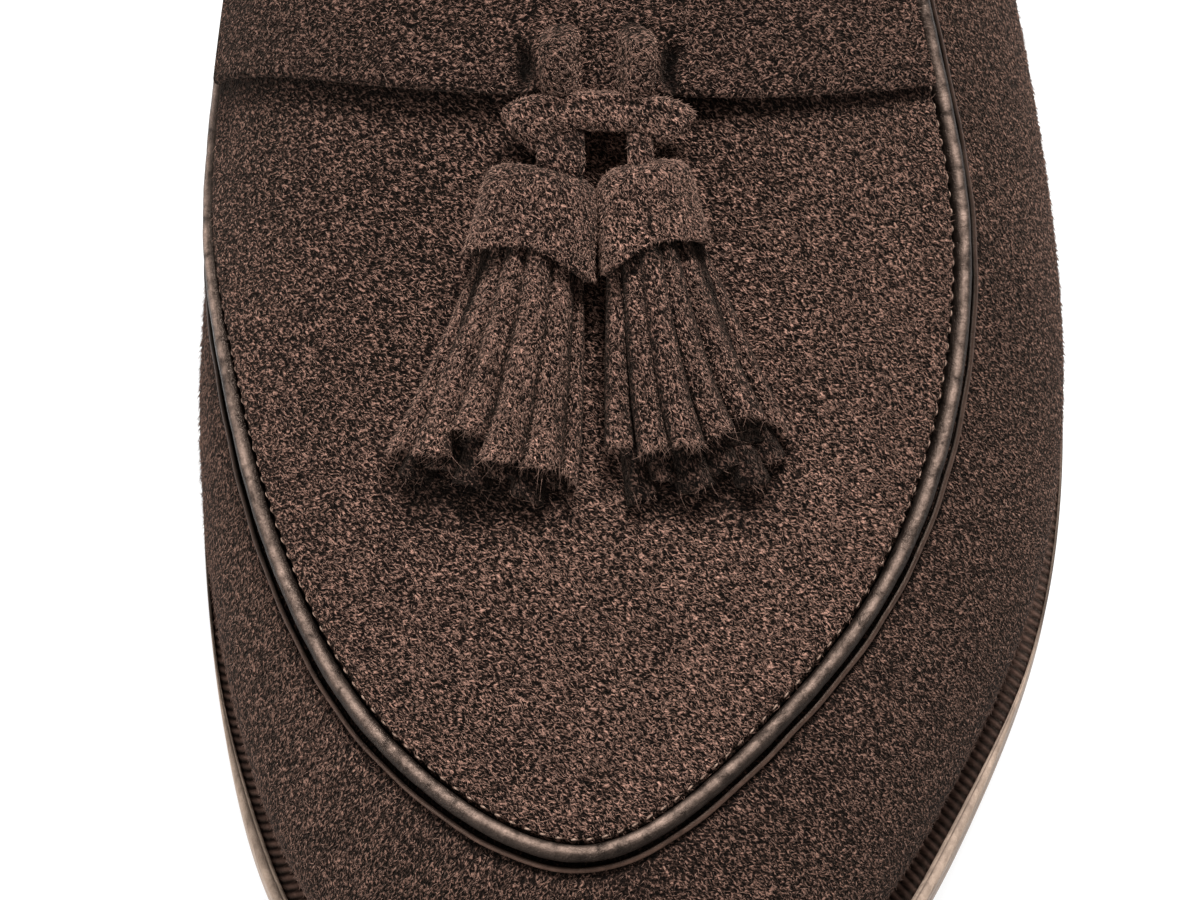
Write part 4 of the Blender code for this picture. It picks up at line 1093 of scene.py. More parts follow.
def apron_shape():
    """Apron with a stitched-down, slightly scalloped edge that rises to a soft puff."""
    inside = SEAM_RUN[SEAM[:, 1] < along_to_y(APRON_REAR_ALONG)]
    columns, rear_columns = 900, 50
    run = np.linspace(inside[0], inside[-1], columns)
    pinch = 0.5 + 0.5 * np.cos((run - inside[0]) / STITCH_PITCH * 2 * math.pi)
    scallop = 0.00006 * pinch
    full = SHEET_GAP + APRON_THICKNESS
    flatness = seam_flatness(run)
    plans, lifts = [], []

    def ring(inset):
        rim = seam_at(run, inset * flatness)
        back = np.linspace(0, 1, rear_columns + 2)[1:-1, None]
        return np.concatenate([rim, rim[-1] + (rim[0] - rim[-1]) * back])

    def add(plan, lift):
        plans.append(plan)
        lifts.append(np.broadcast_to(lift, len(plan)))

    edge_rim = ring(APRON_EDGE + scallop)
    middle = np.array([edge_rim[:, 0].mean(), along_to_y(0.73)])
    for share in (0.2, 0.6, 0.97, 1.0):
        add(middle + (edge_rim - middle) * share, 0.0002)
    under = len(plans)
    gaps = (0.0, 0.00015, 0.0003, 0.00045, 0.0006, 0.0008, 0.001, 0.00125, 0.0015, 0.0019,
            0.0024, 0.003, 0.0038)
    for gap in gaps:
        lift = 0.0006 + (full - 0.0006) * ease(-0.0002, 0.0008, gap)
        lift = lift + APRON_PUFF * bell(gap, 0.0022, 0.0013)
        lift = lift - 0.00034 * pinch * bell(gap, 0.00038, 0.00028)
        add(ring(APRON_EDGE + scallop * (gap < 0.001) + gap),
            np.concatenate([lift, np.full(rear_columns, full)]))
    last_rim = plans[-1]
    for share in np.linspace(1, 0.03, 27)[1:]:
        add(middle + (last_rim - middle) * share, full)
    plans = np.array(plans)
    points = on_last(plans[..., 0], plans[..., 1], np.array(lifts))
    x, y = points[..., 0], points[..., 1]
    tone = np.zeros(x.shape)
    # Painted shade in the channel at the apron's edge, deepest at the stitch holes, and under the
    # edge of the sheet.
    for row, gap in enumerate(gaps):
        tone[under + row, :columns] = (0.55 * (1 - ease(0.0001, 0.00060, gap))
                                       * (0.60 + 0.40 * pinch))
    tone[:under] = 0.8
    # Painted light: the apron is painted lighter toward the toe and the lateral side for how the
    # light falls on the nap, and lighter before the knot, against the shade there
    tone += 0.24 * ease(along_to_y(0.84), along_to_y(0.64), y)
    tone -= 0.14 * np.clip(x / (BALL_WIDTH / 3), -1, 1)
    knot_y = strap_front(0) - KNOT_DEPTH - 0.0015
    tone -= 1.1 * bell(x, 0.0008, 0.0032) * bell(y, knot_y, 0.0028)
    # It lies in shade under the strap's front edge and before the fringes
    tone += 0.55 * bell(strap_front(x) - y, 0.0008, 0.0011)
    shade_y = strap_front(0) - TASSEL_LENGTH * 1.03 - 0.0024
    for _, _, _, foot, *_ in TASSELS:
        tone += 0.62 * bell(x, foot * BALL_WIDTH, 0.0100, 4) * bell(y, shade_y, 0.0056, 4)
    return toned(points, tone)


def strap_front(x):
    out = np.abs(x) / (STRAP_HALF_SPAN * BALL_WIDTH)
    return along_to_y(STRAP_FRONT_ALONG) + STRAP_SWEEP * out**2.5


def strap_seat(out):
    return 2 * SHEET_GAP + APRON_THICKNESS + STRAP_STANDOFF * (1 - out**2) ** 2


def across_apron(y, side):
    """Place across between the two sides of the seam: side is -1 to 1."""
    left, right = (seam_side(y, lateral, PIPING_RADIUS + 2 * GAP) for lateral in (False, True))
    return (left + right) / 2 + (right - left) / 2 * side


# Tassels and the loops of their thongs: places across as shares of BALL_WIDTH, widths of the
# loop and the stem as shares of THONG_WIDTH, width of the cap as a share of CAP_WIDTH, how far
# along the tassel the cap is shifted and how far its outer side droops
TASSELS = [
    # name, hand, neck, foot, loop, slit, loop width, stem place, stem width, cap, shift, droop
    ("medial", -1, -0.060, -0.133, -0.0400, -0.080, 0.74, 0.0018, 0.84, 0.95, 0.016, 0.048),
    ("lateral", 1, 0.040, 0.118, 0.030, 0.070, 0.68, -0.0002, 0.46, 0.80, 0.0, 0.022),
]


def slit_places():
    """Hand and middle of each slit in the strap."""
    for row in TASSELS:
        slit_x = row[5] * BALL_WIDTH
        yield row[1], slit_x, strap_front(slit_x) + SLIT_SETBACK


def strap_shape():
    """Saddle strap, standing off in the middle, with a slit beside each thong loop."""
    side = np.sin(np.linspace(-1, 1, 300) * math.pi / 2)[:, None]
    widths = STRAP_WIDTH + (STRAP_END_WIDTH - STRAP_WIDTH) * side[:, 0] ** 2
    offsets, heights = plate_ring(widths, STRAP_THICKNESS, flat=30, turn=6)
    share = offsets / offsets.max(axis=1, keepdims=True)
    y_guess = along_to_y(STRAP_FRONT_ALONG) + STRAP_SWEEP + STRAP_END_WIDTH * share
    x = across_apron(y_guess, side)
    y = strap_front(x) + offsets
    inward = 1 - side**2
    closed = 0.95 * STRAP_STANDOFF * inward**2 * ease(0.4, 1.0, share)
    lift = strap_seat(np.abs(side)) + heights - closed
    # The front edge curls down a little and the surface is not quite even
    lift = lift - 0.0007 * np.exp(-offsets / 0.0022) * inward
    lift = lift + 0.0002 * np.sin(side * 9 + offsets * 260) * inward
    # Painted shade along the front edge where it curls down, and painted light on the lateral end
    # with painted shade on the medial end.
    tone = 0.25 * np.exp(-offsets / 0.0006) - 0.30 * side
    for hand, slit_x, slit_y in slit_places():
        bent = slit_x + hand * 90 * (y - slit_y) ** 2
        gap = ((x - bent) / 0.00105) ** 2 + ((y - slit_y) / 0.0029) ** 2
        hole = np.exp(-gap**3) * (heights > STRAP_THICKNESS / 2)
        lift = lift - 0.0012 * hole
        # Painted shade in the slit.
        tone = np.maximum(tone, 0.97 * hole)
    return toned(on_last(x, y, lift), tone)


def tongue_shape():
    """Lip behind the strap, with round rear corners."""
    front = along_to_y(APRON_REAR_ALONG) + GAP
    across = np.sin(np.linspace(-1, 1, 120) * math.pi / 2)
    length = TONGUE_LENGTH * (1 - TONGUE_CORNER * np.abs(across) ** 4)
    offsets, heights = plate_ring(length, APRON_THICKNESS, flat=26, turn=5)
    s = offsets / offsets.max(axis=1, keepdims=True)
    x = across_apron(front + TONGUE_LENGTH * s, across[:, None] * (1 - 0.12 * s**2))
    lift = SHEET_GAP + heights + 0.0004 * bell(s, 1, 0.10)
    return swept(on_last(x, front + offsets, lift))


def seam_trim():
    """Piping bead with fine wrinkles, the folded edge outside it and the apron's stitches."""
    run = np.linspace(0, SEAM_RUN[-1], 1500)

    def over_seam(run, inset, lift):
        plan = seam_at(run, np.broadcast_to(inset, len(run)))
        return on_last(plan[:, 0], plan[:, 1], np.full(len(run), lift))

    centre = over_seam(run, 0.0, GAP + PIPING_RADIUS)
    up = unit(centre - over_seam(run, 0.0, 0.0))
    draw = np.random.default_rng(11)
    wrinkle = np.zeros(len(run))
    for _ in range(170):
        at = draw.uniform(0, SEAM_RUN[-1])
        wrinkle += draw.uniform(0.3, 1.0) * bell(run, at, 0.00022)
    wrinkle = np.minimum(wrinkle, 1.5)
    wave = 0.000020 * np.sin(run * 900) + 0.000006 * np.sin(run * 2300 + 1.3)
    rings = bead(centre, PIPING_RADIUS * 1.02 + wave - 0.000015 * wrinkle, up, 18, 1.5)
    # Painted highlight: the bead is painted lighter in a narrow band along its upper inner side,
    # broken up by the wrinkles and the glint wave, and darker elsewhere.
    ridge = np.clip(0.92 * np.sin(turns(18)) - 0.39 * bead_side(rings), 0, 1) ** 12
    glint = 1 - 0.14 * wrinkle + 0.1 * np.sin(run * 430)
    shape, tone = toned(rings, 0.58 - 6.5 * ridge * glint[:, None])
    piece("piping_bead", shape, PIPING_LEATHER, ["piping"], tone)

    flatness = seam_flatness(run)
    out = FOLD_OUT * flatness + FOLD_STEEP * np.sqrt(1 - flatness**2)
    line = over_seam(run, 0.00004 * np.sin(run * 700) - out, FOLD_RADIUS * 1.3)[4:-4]
    rings = bead(line, FOLD_RADIUS, up[4:-4], 12, 1.4, 1.3)
    # Painted shade on the fold's inner side next to the bead, and painted light on its outer rim.
    shape, tone = toned(rings, 0.15 - 1.1 * bead_side(rings))
    piece("folded_edge", shape, FOLD_LEATHER, (), tone)

    inside = SEAM_RUN[SEAM[:, 1] < along_to_y(APRON_REAR_ALONG)]
    number = int((inside[-1] - inside[0]) / STITCH_PITCH)
    stops = inside[0] + (np.arange(number) + 0.5) * STITCH_PITCH
    flatness = seam_flatness(stops)
    low, high = (over_seam(stops, (APRON_EDGE + 0.00052) * flatness, lift)
                 for lift in (0.00146, 0.00215))
    ahead = over_seam(stops + 0.0005, (APRON_EDGE + 0.00058) * flatness, 0.00146) - low
    shape = stitches(low, ahead, high - low, STITCH_PITCH * 0.45, STITCH_RADIUS * 1.15)
    piece("apron_stitches", shape, THREAD)


def collar_binding():
    """Rolled binding along the collar and a row of stitches under it."""
    shares = np.arange(1200) / 1200
    rim = shell(shares, 1.0)
    order = np.roll(np.arange(1200), -int(np.argmin(rim[:, 1])))
    keep = order[rim[order, 1] > along_to_y(0.49)]
    shares, rim = shares[keep], rim[keep]
    upward = unit(rim - shell(shares, 0.985))
    inward = -shell_normal(shares, 1.0)
    centre = rim + inward * UPPER_WALL / 2 + upward * (GAP + BINDING_RADIUS)
    run = chords(centre)
    ripple = 0.00003 * np.sin(run * 1500) + 0.00003 * np.sin(run * 610)
    rings = bead(centre, BINDING_RADIUS + ripple, upward, 14, 1.5)
    piece("rolled_binding", swept(rings), PIPING_LEATHER, ["topline_binding"])
    row, up = over_shell(shares[20:-20], 0.94, 0.00008)
    line_stitches("collar_stitching", row, up, "smooth_leather")


def over_shell(shares, levels, lift):
    """Points a lift off the upper's outer surface, and their directions out of it."""
    up = shell_normal(shares, levels)
    return shell(shares, levels) + up * np.asarray(lift)[..., None], up


def heel_strip():
    """Strip over the heel seam, stitched down both sides."""
    half = BACK_STRIP_WIDTH / 2 / ROUND_RUN
    levels = np.concatenate([np.linspace(0.985, 0, 60), np.linspace(-0.02, -0.8, 24)])
    offsets, heights = plate_ring(np.full(len(levels), 2.0), 0.2, flat=20, turn=5)
    seat = SHEET_GAP * 0.4
    points, _ = over_shell((offsets - 1) * half, levels[:, None],
                           seat + heights / 0.2 * BACK_STRIP_THICKNESS)
    piece("heel_strip", swept(points), VAMP_SUEDE, ["back_strip"])
    for name, hand in (("medial", 1), ("lateral", -1)):
        shares = np.full(len(levels), hand * half * 0.78)
        row, up = over_shell(shares, levels, seat + BACK_STRIP_THICKNESS)
        line_stitches(f"heel_strip_stitching_{name}", row[2:-2], up[2:-2], "brown_suede")


def side_seams():
    """Quarter seam on each side: a lapped suede edge from the apron's rear down to the welt."""
    shapes = []
    levels = np.concatenate([np.linspace(0.80, 0, 50), np.linspace(-0.03, -0.9, 26)])
    for name, hand, top_share, low_share in (("medial", -1, 0.262, 0.215),
                                             ("lateral", 1, 0.738, 0.785)):
        t = np.linspace(0, 1, len(levels))
        shares = top_share + (low_share - top_share) * t**0.8
        line, up = over_shell(shares, levels, 0.0001)
        shapes.append(swept(bead(line, SEAM_RADIUS, up, 10)))
        for row, shift in (("front", 0.0026), ("rear", 0.0046)):
            near = shares + shift / ROUND_RUN * hand
            line_stitches(f"seam_stitching_{name}_{row}", *over_shell(near, levels, 0.00008),
                          "brown_suede")
    piece("side_seams", join(shapes), VAMP_SUEDE)


# Knot and tassels


def knot_shape():
    """Boat-shaped band wound in front of the strap, with folded tips."""
    side = np.linspace(-1, 1, 90)[:, None]
    turn = turns(36)[None]
    x = side * KNOT_WIDTH * 0.462 - 0.0005
    out = np.abs(side)
    # Front edge bellies out at about two thirds of the way to each tip
    rear_edge = -0.0006 + 0.0014 * out**2
    front_edge = 0.0040 + (0.0019 - 0.0005 * side) * bell(out, 0.66, 0.22) - 0.0010 * out**6
    full = np.sqrt(np.maximum(1 - out**8, 0.02))
    middle = strap_front(0) - (front_edge + rear_edge) / 2
    y = middle + (front_edge - rear_edge) / 2 * full * blunt(np.cos(turn), 0.85)
    crumple = 0.00016 * np.sin(side * 11 + 2 * turn) + 0.00012 * np.sin(side * 23 + turn)
    lift = strap_seat(0) + KNOT_HEIGHT * (0.45 + 0.5 * full * blunt(np.sin(turn), 0.8)) + crumple
    # A crease runs along the band where it is folded
    crease = bell(turn, 1.25, 0.16) * (1 - out**4)
    lift = lift - 0.00045 * crease
    # Painted shade in the crease and on the underside of the band.
    tone = 0.5 * crease + 0.55 * ease(0.0, -0.9, np.sin(turn))
    return toned(on_last(x + 0 * turn, y, lift), tone)


def thong_shape(neck, hand, share_of_width):
    """Loop of the thong: up from the knot, over the strap and down into its slit."""
    s = np.linspace(0, 1, 60)[:, None]
    y = strap_front(neck) - 0.0006 + (THONG_REACH + 0.0004) * s
    bow = THONG_ARCH * np.sin(math.pi * s) ** 0.6 * (0.75 + 0.35 * s)
    dive = -0.0026 * ease(0.70, 1.0, s) - 0.0006 * (1 - s)
    shape_of_width = 1 + 0.05 * np.sin(math.pi * s) - 0.55 * ease(0.72, 1, s) ** 2
    width = THONG_WIDTH * share_of_width * shape_of_width
    offsets, heights = plate_ring(width[:, 0], THONG_THICKNESS, flat=12, turn=6)
    across = offsets - width / 2
    x = neck + across + hand * 0.0003 * np.sin(s * 3)
    inner = -across * hand / (width / 2)
    cup = -0.0011 * np.abs(inner) ** 3
    share = np.abs(x) / (STRAP_HALF_SPAN * BALL_WIDTH)
    sink = ease(0.1, 1.0, inner)
    lift = strap_seat(share) + STRAP_THICKNESS + SHEET_GAP * 0.5 + heights
    lift = lift + (bow + dive) * (1 - 0.9 * sink) + cup - sink * heights * 0.8
    # Painted shade where the thong leaves the knot and where it dives into the slit.
    tone = 0.7 * ease(0.8, 1.0, s) + 0.45 * (1 - ease(0, 0.14, s))
    return toned(on_last(x, y + 0 * x, lift), tone)


def tassel_point(neck, foot, along, across, up):
    """Point over the apron in a tassel's own directions."""
    start = strap_front(0) - SHEET_GAP - KNOT_DEPTH - GAP
    lean = (foot - neck) / TASSEL_LENGTH
    x = neck + (foot - neck) * np.clip(along, 0, None) ** 1.4 + across
    y = start - TASSEL_LENGTH * along + across * lean
    return on_last(x, y, 2 * SHEET_GAP + APRON_THICKNESS + up)


# Cap of a tassel, over its mouth and in again: shares of half CAP_WIDTH and of CAP_HEIGHT,
# how thick the leather is there, and its painted shade: darker at the neck and inside the mouth,
# lighter on the outside of the lip
CAP = [
    # along, width, height, thin, tone
    (0.034, 0.28, 0.50, 0.0, 0.35),
    (0.039, 0.52, 0.70, 0.0, 0.2),
    (0.049, 0.70, 0.84, 0.0, 0.1),
    (0.064, 0.81, 0.93, 0.0, 0.0),
    (0.086, 0.88, 0.98, 0.0, 0.0),
    (0.125, 0.93, 1.00, 0.0, 0.0),
    (0.175, 0.97, 1.00, 0.0, 0.0),
    (0.225, 1.01, 1.01, 0.0, -0.1),
    (0.272, 1.06, 1.02, 0.0, -0.3),
    (0.279, 1.05, 1.02, 0.0004, 0.1),
    (0.277, 1.04, 1.02, 0.0011, 0.8),
    (0.255, 1.02, 1.00, 0.0013, 0.95),
    (0.160, 0.90, 0.98, 0.0016, 0.97),
]

# Front strips of the two tassels, outer one first: where each leaves the cap and ends, across
# as shares of half CAP_WIDTH and half TASSEL_SPREAD, its end along, its width, and its height
FRONT_STRIPS = {
    "medial": [
        # top, end, along, width, height
        (-0.90, -1.02, 0.887, 0.0029, 0.30),
        (-0.62, -0.66, 0.893, 0.0042, 0.60),
        (-0.26, -0.24, 0.815, 0.0038, 0.80),
        (0.16, 0.22, 0.885, 0.0046, 0.86),
        (0.60, 0.72, 0.885, 0.0042, 0.66),
        (0.94, 0.98, 0.900, 0.0022, 0.34),
    ],
    "lateral": [
        (0.92, 1.04, 0.823, 0.0030, 0.30),
        (0.64, 0.68, 0.788, 0.0044, 0.60),
        (0.28, 0.26, 0.825, 0.0036, 0.80),
        (-0.10, -0.16, 0.850, 0.0036, 0.88),
        (-0.46, -0.54, 0.845, 0.0036, 0.74),
        (-0.86, -0.90, 0.815, 0.0032, 0.46),
    ],
}

# Strips behind them, longer, and painted darker as shade
BACK_STRIPS = [
    # top, end, along, width, height
    (-0.75, -0.84, 0.965, 0.0040, 0.16),
    (-0.45, -0.48, 0.930, 0.0042, 0.30),
    (-0.12, -0.12, 0.965, 0.0044, 0.40),
    (0.22, 0.24, 0.930, 0.0042, 0.36),
    (0.52, 0.60, 0.975, 0.0040, 0.24),
    (0.78, 0.88, 0.925, 0.0036, 0.12),
]


def tassel_shape(name, neck, foot, hand, stem_place, stem, cap, shift, outer_droop):
    """Cuff, stem, core and two layers of curled strips."""
    half_cap, half_spread = CAP_WIDTH / 2 * cap, TASSEL_SPREAD / 2
    cos, sin = np.cos(turns(48)), np.sin(turns(48))
    shapes, tones, ends = [], [], []

    def add(sections, tone):
        tone = np.broadcast_to(tone, sections.shape[:2])
        shape, tone = toned(sections, tone, tone[[0, -1], [0, -1]])
        shapes.append(shape)
        tones.append(tone)

    def oval(along, width, height, thin):
        """Flattened oval across the tassel, whose mouth hangs lower on the inner side."""
        across = half_cap * width * blunt(cos, 0.9) * (1 - thin / (half_cap * width))
        up = CAP_HEIGHT * height * (0.5 + 0.5 * blunt(sin, 0.8))
        up = up + thin * (0.5 - up / CAP_HEIGHT)
        low_side, high_side = np.clip(-cos * hand, 0, 1), np.clip(cos * hand, 0, 1)
        droop = 0.062 * low_side**1.2 + outer_droop * high_side**2 - 0.012
        wobble = 0.00012 * np.sin(3 * turns(48) + along * 40 + neck * 900)
        hang = along + shift + ease(0.09, 0.27, along) * droop
        return tassel_point(neck, foot, hang, across, up + wobble)

    # Painted shade over the whole cap, heavier on the medial one.
    painted_cap_shade = 0.16 if hand < 0 else 0.04
    add(np.array([oval(*row[:4]) for row in CAP]), np.array([[row[4] + painted_cap_shade] for row in CAP]))

    # Stem between knot and cap
    s = np.linspace(-0.085, 0.09, 24)[:, None]
    stem = THONG_WIDTH * stem
    offsets, heights = plate_ring(np.full(24, stem), THONG_THICKNESS * 1.3, flat=8, turn=5)
    across = offsets - stem / 2 + stem_place
    rise = CAP_HEIGHT * 0.42 + 0.0006 * np.sin((s + 0.03) * 26)
    # Painted shade toward both ends of the stem, where it runs under the knot and into the cap.
    add(tassel_point(neck, foot, s + 0 * across, across, rise + heights),
        np.clip(0.15 + 7 * np.abs(s - 0.01), 0, 0.8))

    # Core that closes the view between the strips, painted dark as the shade between them
    add(np.array([
        tassel_point(neck, foot, along, half_spread * width * cos,
                     CAP_HEIGHT * height * (0.5 + 0.5 * sin))
        for along, width, height in ((0.20, 0.44, 0.72), (0.40, 0.54, 0.62), (0.65, 0.66, 0.48),
                                     (0.86, 0.74, 0.34))
    ]), 0.88)

    draw = np.random.default_rng(31 if hand < 0 else 32)

    def strip(back, top, end, stop, width, height):
        s = np.linspace(0, 1, 46)[:, None]
        start = 0.19
        from_cap, to_end = top * 0.66 * half_cap, end * (half_spread - width / 2)
        centre = from_cap + (to_end - from_cap) * s
        centre = centre + draw.uniform(-0.0004, 0.0004) * np.sin(s * draw.uniform(3, 7))
        crown = CAP_HEIGHT * height * (1 - 0.30 * s) + draw.uniform(-0.0002, 0.0002)
        crown = crown + draw.uniform(0.0002, 0.0009) * ease(0.8, 1.0, s) * (0.2 if back else 1)
        wide = width * (0.60 + 0.42 * s**0.7)
        offsets, heights = plate_ring(wide[:, 0], STRIP_THICKNESS * 0.85, flat=12, turn=4)
        across = offsets - wide / 2
        share = across / (wide / 2)
        curl = draw.uniform(0.42, 0.56) * (1 - 0.25 * ease(0.75, 1.0, s))
        up = crown + heights - curl * wide * share**2
        upper_face = heights > 0.0006
        up = up - 0.00022 * bell(share, draw.uniform(-0.4, 0.4), 0.16) * upper_face
        ragged = np.interp(share[-1], np.linspace(-1.1, 1.1, 13), draw.uniform(-1, 1, 13))
        ragged = ragged + draw.uniform(-1.2, 1.2) * share[-1]
        push = ease(0.86, 1.0, s) * ragged * 0.00042 / TASSEL_LENGTH
        along = start + (stop - start) * s + push
        points = tassel_point(neck, foot, along, centre + across, up)
        # Painted shade: the back strips darker, the grooves at each strip's edges, the tops under
        # the cap and the undersides; the front strips are painted lighter on the medial tassel and
        # darker on the lateral one, and the cut ends are painted lighter, the front ones most.
        tone = (0.70 if back else 0.12 * hand) + 1.05 * share**4 * (1 - 0.2 * s)
        tone = tone + 0.80 * (1 - ease(0.08, 0.26, s))
        tone = tone - (0.1 if back else 0.35) * ease(0.93, 1.0, s)
        add(points, np.minimum(tone + 0.5 * ~upper_face, 0.96))
        ends.append((points[-1], unit(points[-1] - points[-4]), back))

    for row in BACK_STRIPS:
        strip(True, *row)
    for row in FRONT_STRIPS[name]:
        strip(False, *row)
    return join(shapes), np.concatenate(tones), ends


def frayed_hairs(name, ends, seed):
    """Curling hairs on the cut ends of the strips."""
    draw = np.random.default_rng(seed)
    runs = []
    at = np.linspace(0, 1, 7)[:, None]
    turn = turns(3)[:, None]
    for rim, ahead, back in ends:
        for _ in range(12 if back else 30):
            corner = draw.integers(len(rim))
            length = draw.uniform(0.0004, 0.0014) * (1.9 if draw.random() < 0.12 else 1)
            heading = unit(ahead[corner] + draw.normal(0, 0.75, 3))
            bend = unit(draw.normal(0, 1, 3)) * draw.uniform(0.2, 1.5)
            line = rim[corner] - heading * 0.0002 + heading * at * length + bend * at**2 * length
            side = unit(np.cross(heading, bend))
            ring = side * np.cos(turn) + np.cross(side, heading) * np.sin(turn)
            runs.append(line[:, None] + ring * (0.000032 * (1 - 0.7 * at))[..., None])
    piece(name, copies(np.array(runs)), FIBRE_LIGHT)


# Fibres of the nap


def nap(name, parts, count, length, weigh, comb, finish, seed):
    """Scatter closed four-sided fibres that lean with the comb, most of all where it is light."""
    points, faces = join([shape for shape, _ in parts])
    tone = np.concatenate([tone for _, tone in parts])
    tri = triangles(faces)
    a, b, c = points[tri].transpose(1, 0, 2)
    cross = np.cross(b - a, c - a)
    chance = np.linalg.norm(cross, axis=1) * weigh((a + b + c) / 3, unit(cross))
    chance = chance * np.clip(1.15 - 2.2 * tone[tri].max(axis=1), 0, 1.3)
    draw = np.random.default_rng(seed)
    picked = draw.choice(len(tri), count, p=chance / chance.sum())
    u, v = draw.random((2, count, 1))
    fold = u + v > 1
    u, v = np.where(fold, 1 - u, u), np.where(fold, 1 - v, v)
    root = a[picked] + (b - a)[picked] * u + (c - a)[picked] * v
    up = unit(cross[picked])
    heading = comb(root) + draw.normal(0, 0.55, (count, 3))
    heading = unit(heading - up * (heading * up).sum(axis=1, keepdims=True))
    side = np.cross(up, heading)
    reach_out = length * draw.uniform(0.45, 1.5, (count, 1))
    rise = draw.uniform(0.08, 0.75, (count, 1))
    tip = root + (heading * np.cos(rise) + up * np.sin(rise)) * reach_out
    half = FIBRE_WIDTH / 2 * draw.uniform(0.7, 1.3, (count, 1))
    base = root - up * half - heading * half
    corners = np.stack([base + side * half, base - side * half, base + up * half * 2, tip], 1)
    starts = (np.arange(count) * 4)[:, None, None]
    pattern = np.array([(0, 1, 2), (1, 0, 3), (2, 1, 3), (0, 2, 3)])
    piece(name, (corners.reshape(-1, 3), [(pattern + starts).reshape(-1, 3)]), finish)


def comb_across(centre):
    return np.tile([0.7, -0.7, 0.0], (len(centre), 1))


def comb_fan(centre):
    side = np.tanh(centre[:, 0] / 0.02)
    return np.stack([side * 0.8, np.full(len(centre), -0.7), np.full(len(centre), -0.2)], axis=1)


def top_side(centre, normal):
    return np.where(normal[:, 2] > -0.1, 1.0, 0.0)


def strap_weight(centre, normal):
    """Top of the strap, as far from a slit as a fibre is long."""
    clear = np.ones(len(centre), bool)
    for _, slit_x, slit_y in slit_places():
        clear &= (np.abs(centre[:, 0] - slit_x) > 0.0015) | (np.abs(centre[:, 1] - slit_y) > 0.0034)
    return np.where(clear, top_side(centre, normal), 0.0)


def vamp_weight(centre, normal):
    """Outer suede of the upper, most of all the vamp; none under the apron or inside."""
    gap = seam_distance(centre[:, :2])
    hidden = (gap < GROOVE_REACH * 0.5) & (centre[:, 1] < along_to_y(0.5))
    radial = centre[:, :2] - FOOT_CENTRE * (centre[:, 1] > 0)[:, None]
    facing = (normal[:, :2] * radial).sum(axis=1) > -0.002
    near_toe = 0.12 + ease(along_to_y(0.5), along_to_y(0.6), centre[:, 1])
    return np.where(hidden | ~facing | (normal[:, 2] < -0.75), 0.0, near_toe)


def apron_weight(centre, normal):
    shown = centre[:, 1] < strap_front(centre[:, 0]) + 0.004
    return np.where(shown & (normal[:, 2] > 0.2), 1.0, 0.0)


# Build the shoe

sole_plate()
ribbed_welt()
heel_stack()
inner_sole()

body, body_tone, lined = upper_shape()
piece("suede_upper", body, VAMP_SUEDE, ["upper"], body_tone, (LINING, lined))
plug, plug_tone = apron_shape()
piece("suede_apron", plug, APRON_SUEDE, ["apron"], plug_tone)
piece("suede_tongue", tongue_shape(), APRON_SUEDE, ["tongue"])
saddle, saddle_tone = strap_shape()
piece("suede_strap", saddle, STRAP_SUEDE, ["strap"], saddle_tone)
seam_trim()
collar_binding()
heel_strip()
side_seams()

knot, knot_tone = knot_shape()
piece("suede_knot", knot, TASSEL_SUEDE, ["knot_band"], knot_tone)
bound, fringes = [(knot, knot_tone)], []
for label, hand, neck_share, foot_share, loop_share, _, loop_width, *rest in TASSELS:
    neck, foot = neck_share * BALL_WIDTH, foot_share * BALL_WIDTH
    loop, tone = thong_shape(loop_share * BALL_WIDTH, hand, loop_width)
    piece(f"suede_thong_{label}", loop, STRAP_SUEDE, [f"thong_{label}"], tone)
    bound.append((loop, tone))
    tassel, tone, tips = tassel_shape(label, neck, foot, hand, *rest)
    piece(f"suede_tassel_{label}", tassel, TASSEL_SUEDE, [f"tassel_{label}"], tone)
    fringes.append((tassel, tone))
    frayed_hairs(f"frayed_ends_{label}", tips, 41 if hand < 0 else 42)

nap("nap_vamp", [(body, body_tone)], 24000, 0.00062, vamp_weight, comb_fan, FIBRE_DARK,
    51)
nap("nap_apron", [(plug, plug_tone)], 22000, 0.00060, apron_weight, comb_across, FIBRE_LIGHT,
    52)
nap("nap_strap", [(saddle, saddle_tone)], 6000, 0.00060, strap_weight, comb_across, FIBRE_DARK,
    53)
nap("nap_knot", bound, 2200, 0.00055, top_side, comb_across, FIBRE_LIGHT, 54)
nap("nap_tassels", fringes, 9000, 0.00055, top_side, comb_fan, FIBRE_LIGHT, 55)


# Floor, light and camera


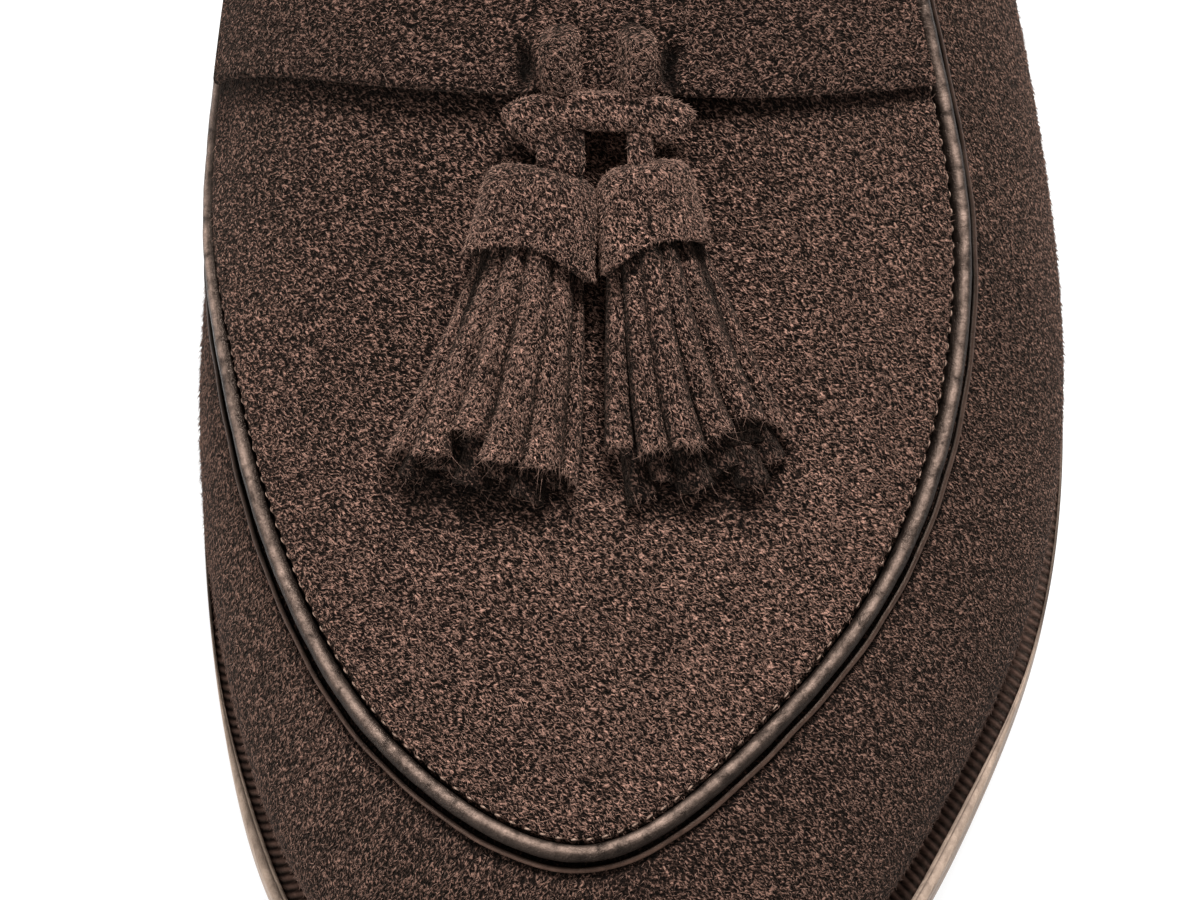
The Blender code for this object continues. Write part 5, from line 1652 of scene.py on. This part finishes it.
def place_thing(name, data, location=(0, 0, 0), rotation=(0, 0, 0)):
    made = bpy.data.objects.new(name, data)
    made.location = location
    made.rotation_euler = rotation
    bpy.context.scene.collection.objects.link(made)
    return made


def studio():
    finish, tree, shader = new_finish("pale_floor")
    shade = ramp(tree, noise(tree, 0.2, 1.0), (0.10, 0.10, 0.10), [(0.0, 1.0), (1.0, 1.2)])
    feed(tree, shader, {
        "Base Color": shade, "Roughness": 0.6, "Emission Color": (1, 1, 1, 1),
        "Emission Strength": 0.92,
    })
    mesh = bpy.data.meshes.new("floor")
    wide = 3.0
    corners = [(-wide, -wide, 0), (wide, -wide, 0), (wide, wide, 0), (-wide, wide, 0)]
    mesh.from_pydata(corners, [], [(0, 1, 2, 3)])
    mesh.materials.append(finish)
    place_thing("floor", mesh)

    scene = bpy.context.scene
    scene.world = scene.world or bpy.data.worlds.new("studio")
    scene.world.use_nodes = True
    sky = scene.world.node_tree.nodes["Background"]
    feed(None, sky, {"Color": (1.0, 1.0, 1.0, 1), "Strength": 0.36})

    for name, place, aim, size, power in (
        ("key", (0.14, 0.50, 1.06), (0.0, -0.06, 0.05), 0.34, 31.0),
        ("fill", (-0.7, -0.7, 0.5), (0.0, -0.06, 0.03), 0.5, 8.0),
    ):
        lamp = bpy.data.lights.new(name, "AREA")
        lamp.shape = "SQUARE"
        lamp.size = size
        lamp.energy = power
        x, y, z = np.array(place) - np.array(aim)
        place_thing(name, lamp, place, (math.atan2(math.hypot(x, y), z), 0, math.atan2(x, -y)))

    scene.view_settings.view_transform = "Standard"

    elevation = math.radians(70)
    distance = 0.65
    target = np.array([0.0, -0.0815, 0.055]) + FRAME_SHIFT
    away = np.array([0, -math.cos(elevation), math.sin(elevation)])
    camera = bpy.data.cameras.new("photo_camera")
    camera.sensor_width = 36.0
    camera.lens = 169.65
    camera.clip_start, camera.clip_end = 0.01, 20
    scene.camera = place_thing("photo_camera", camera, target + distance * away,
                               (math.pi / 2 - elevation, 0, 0))


studio()
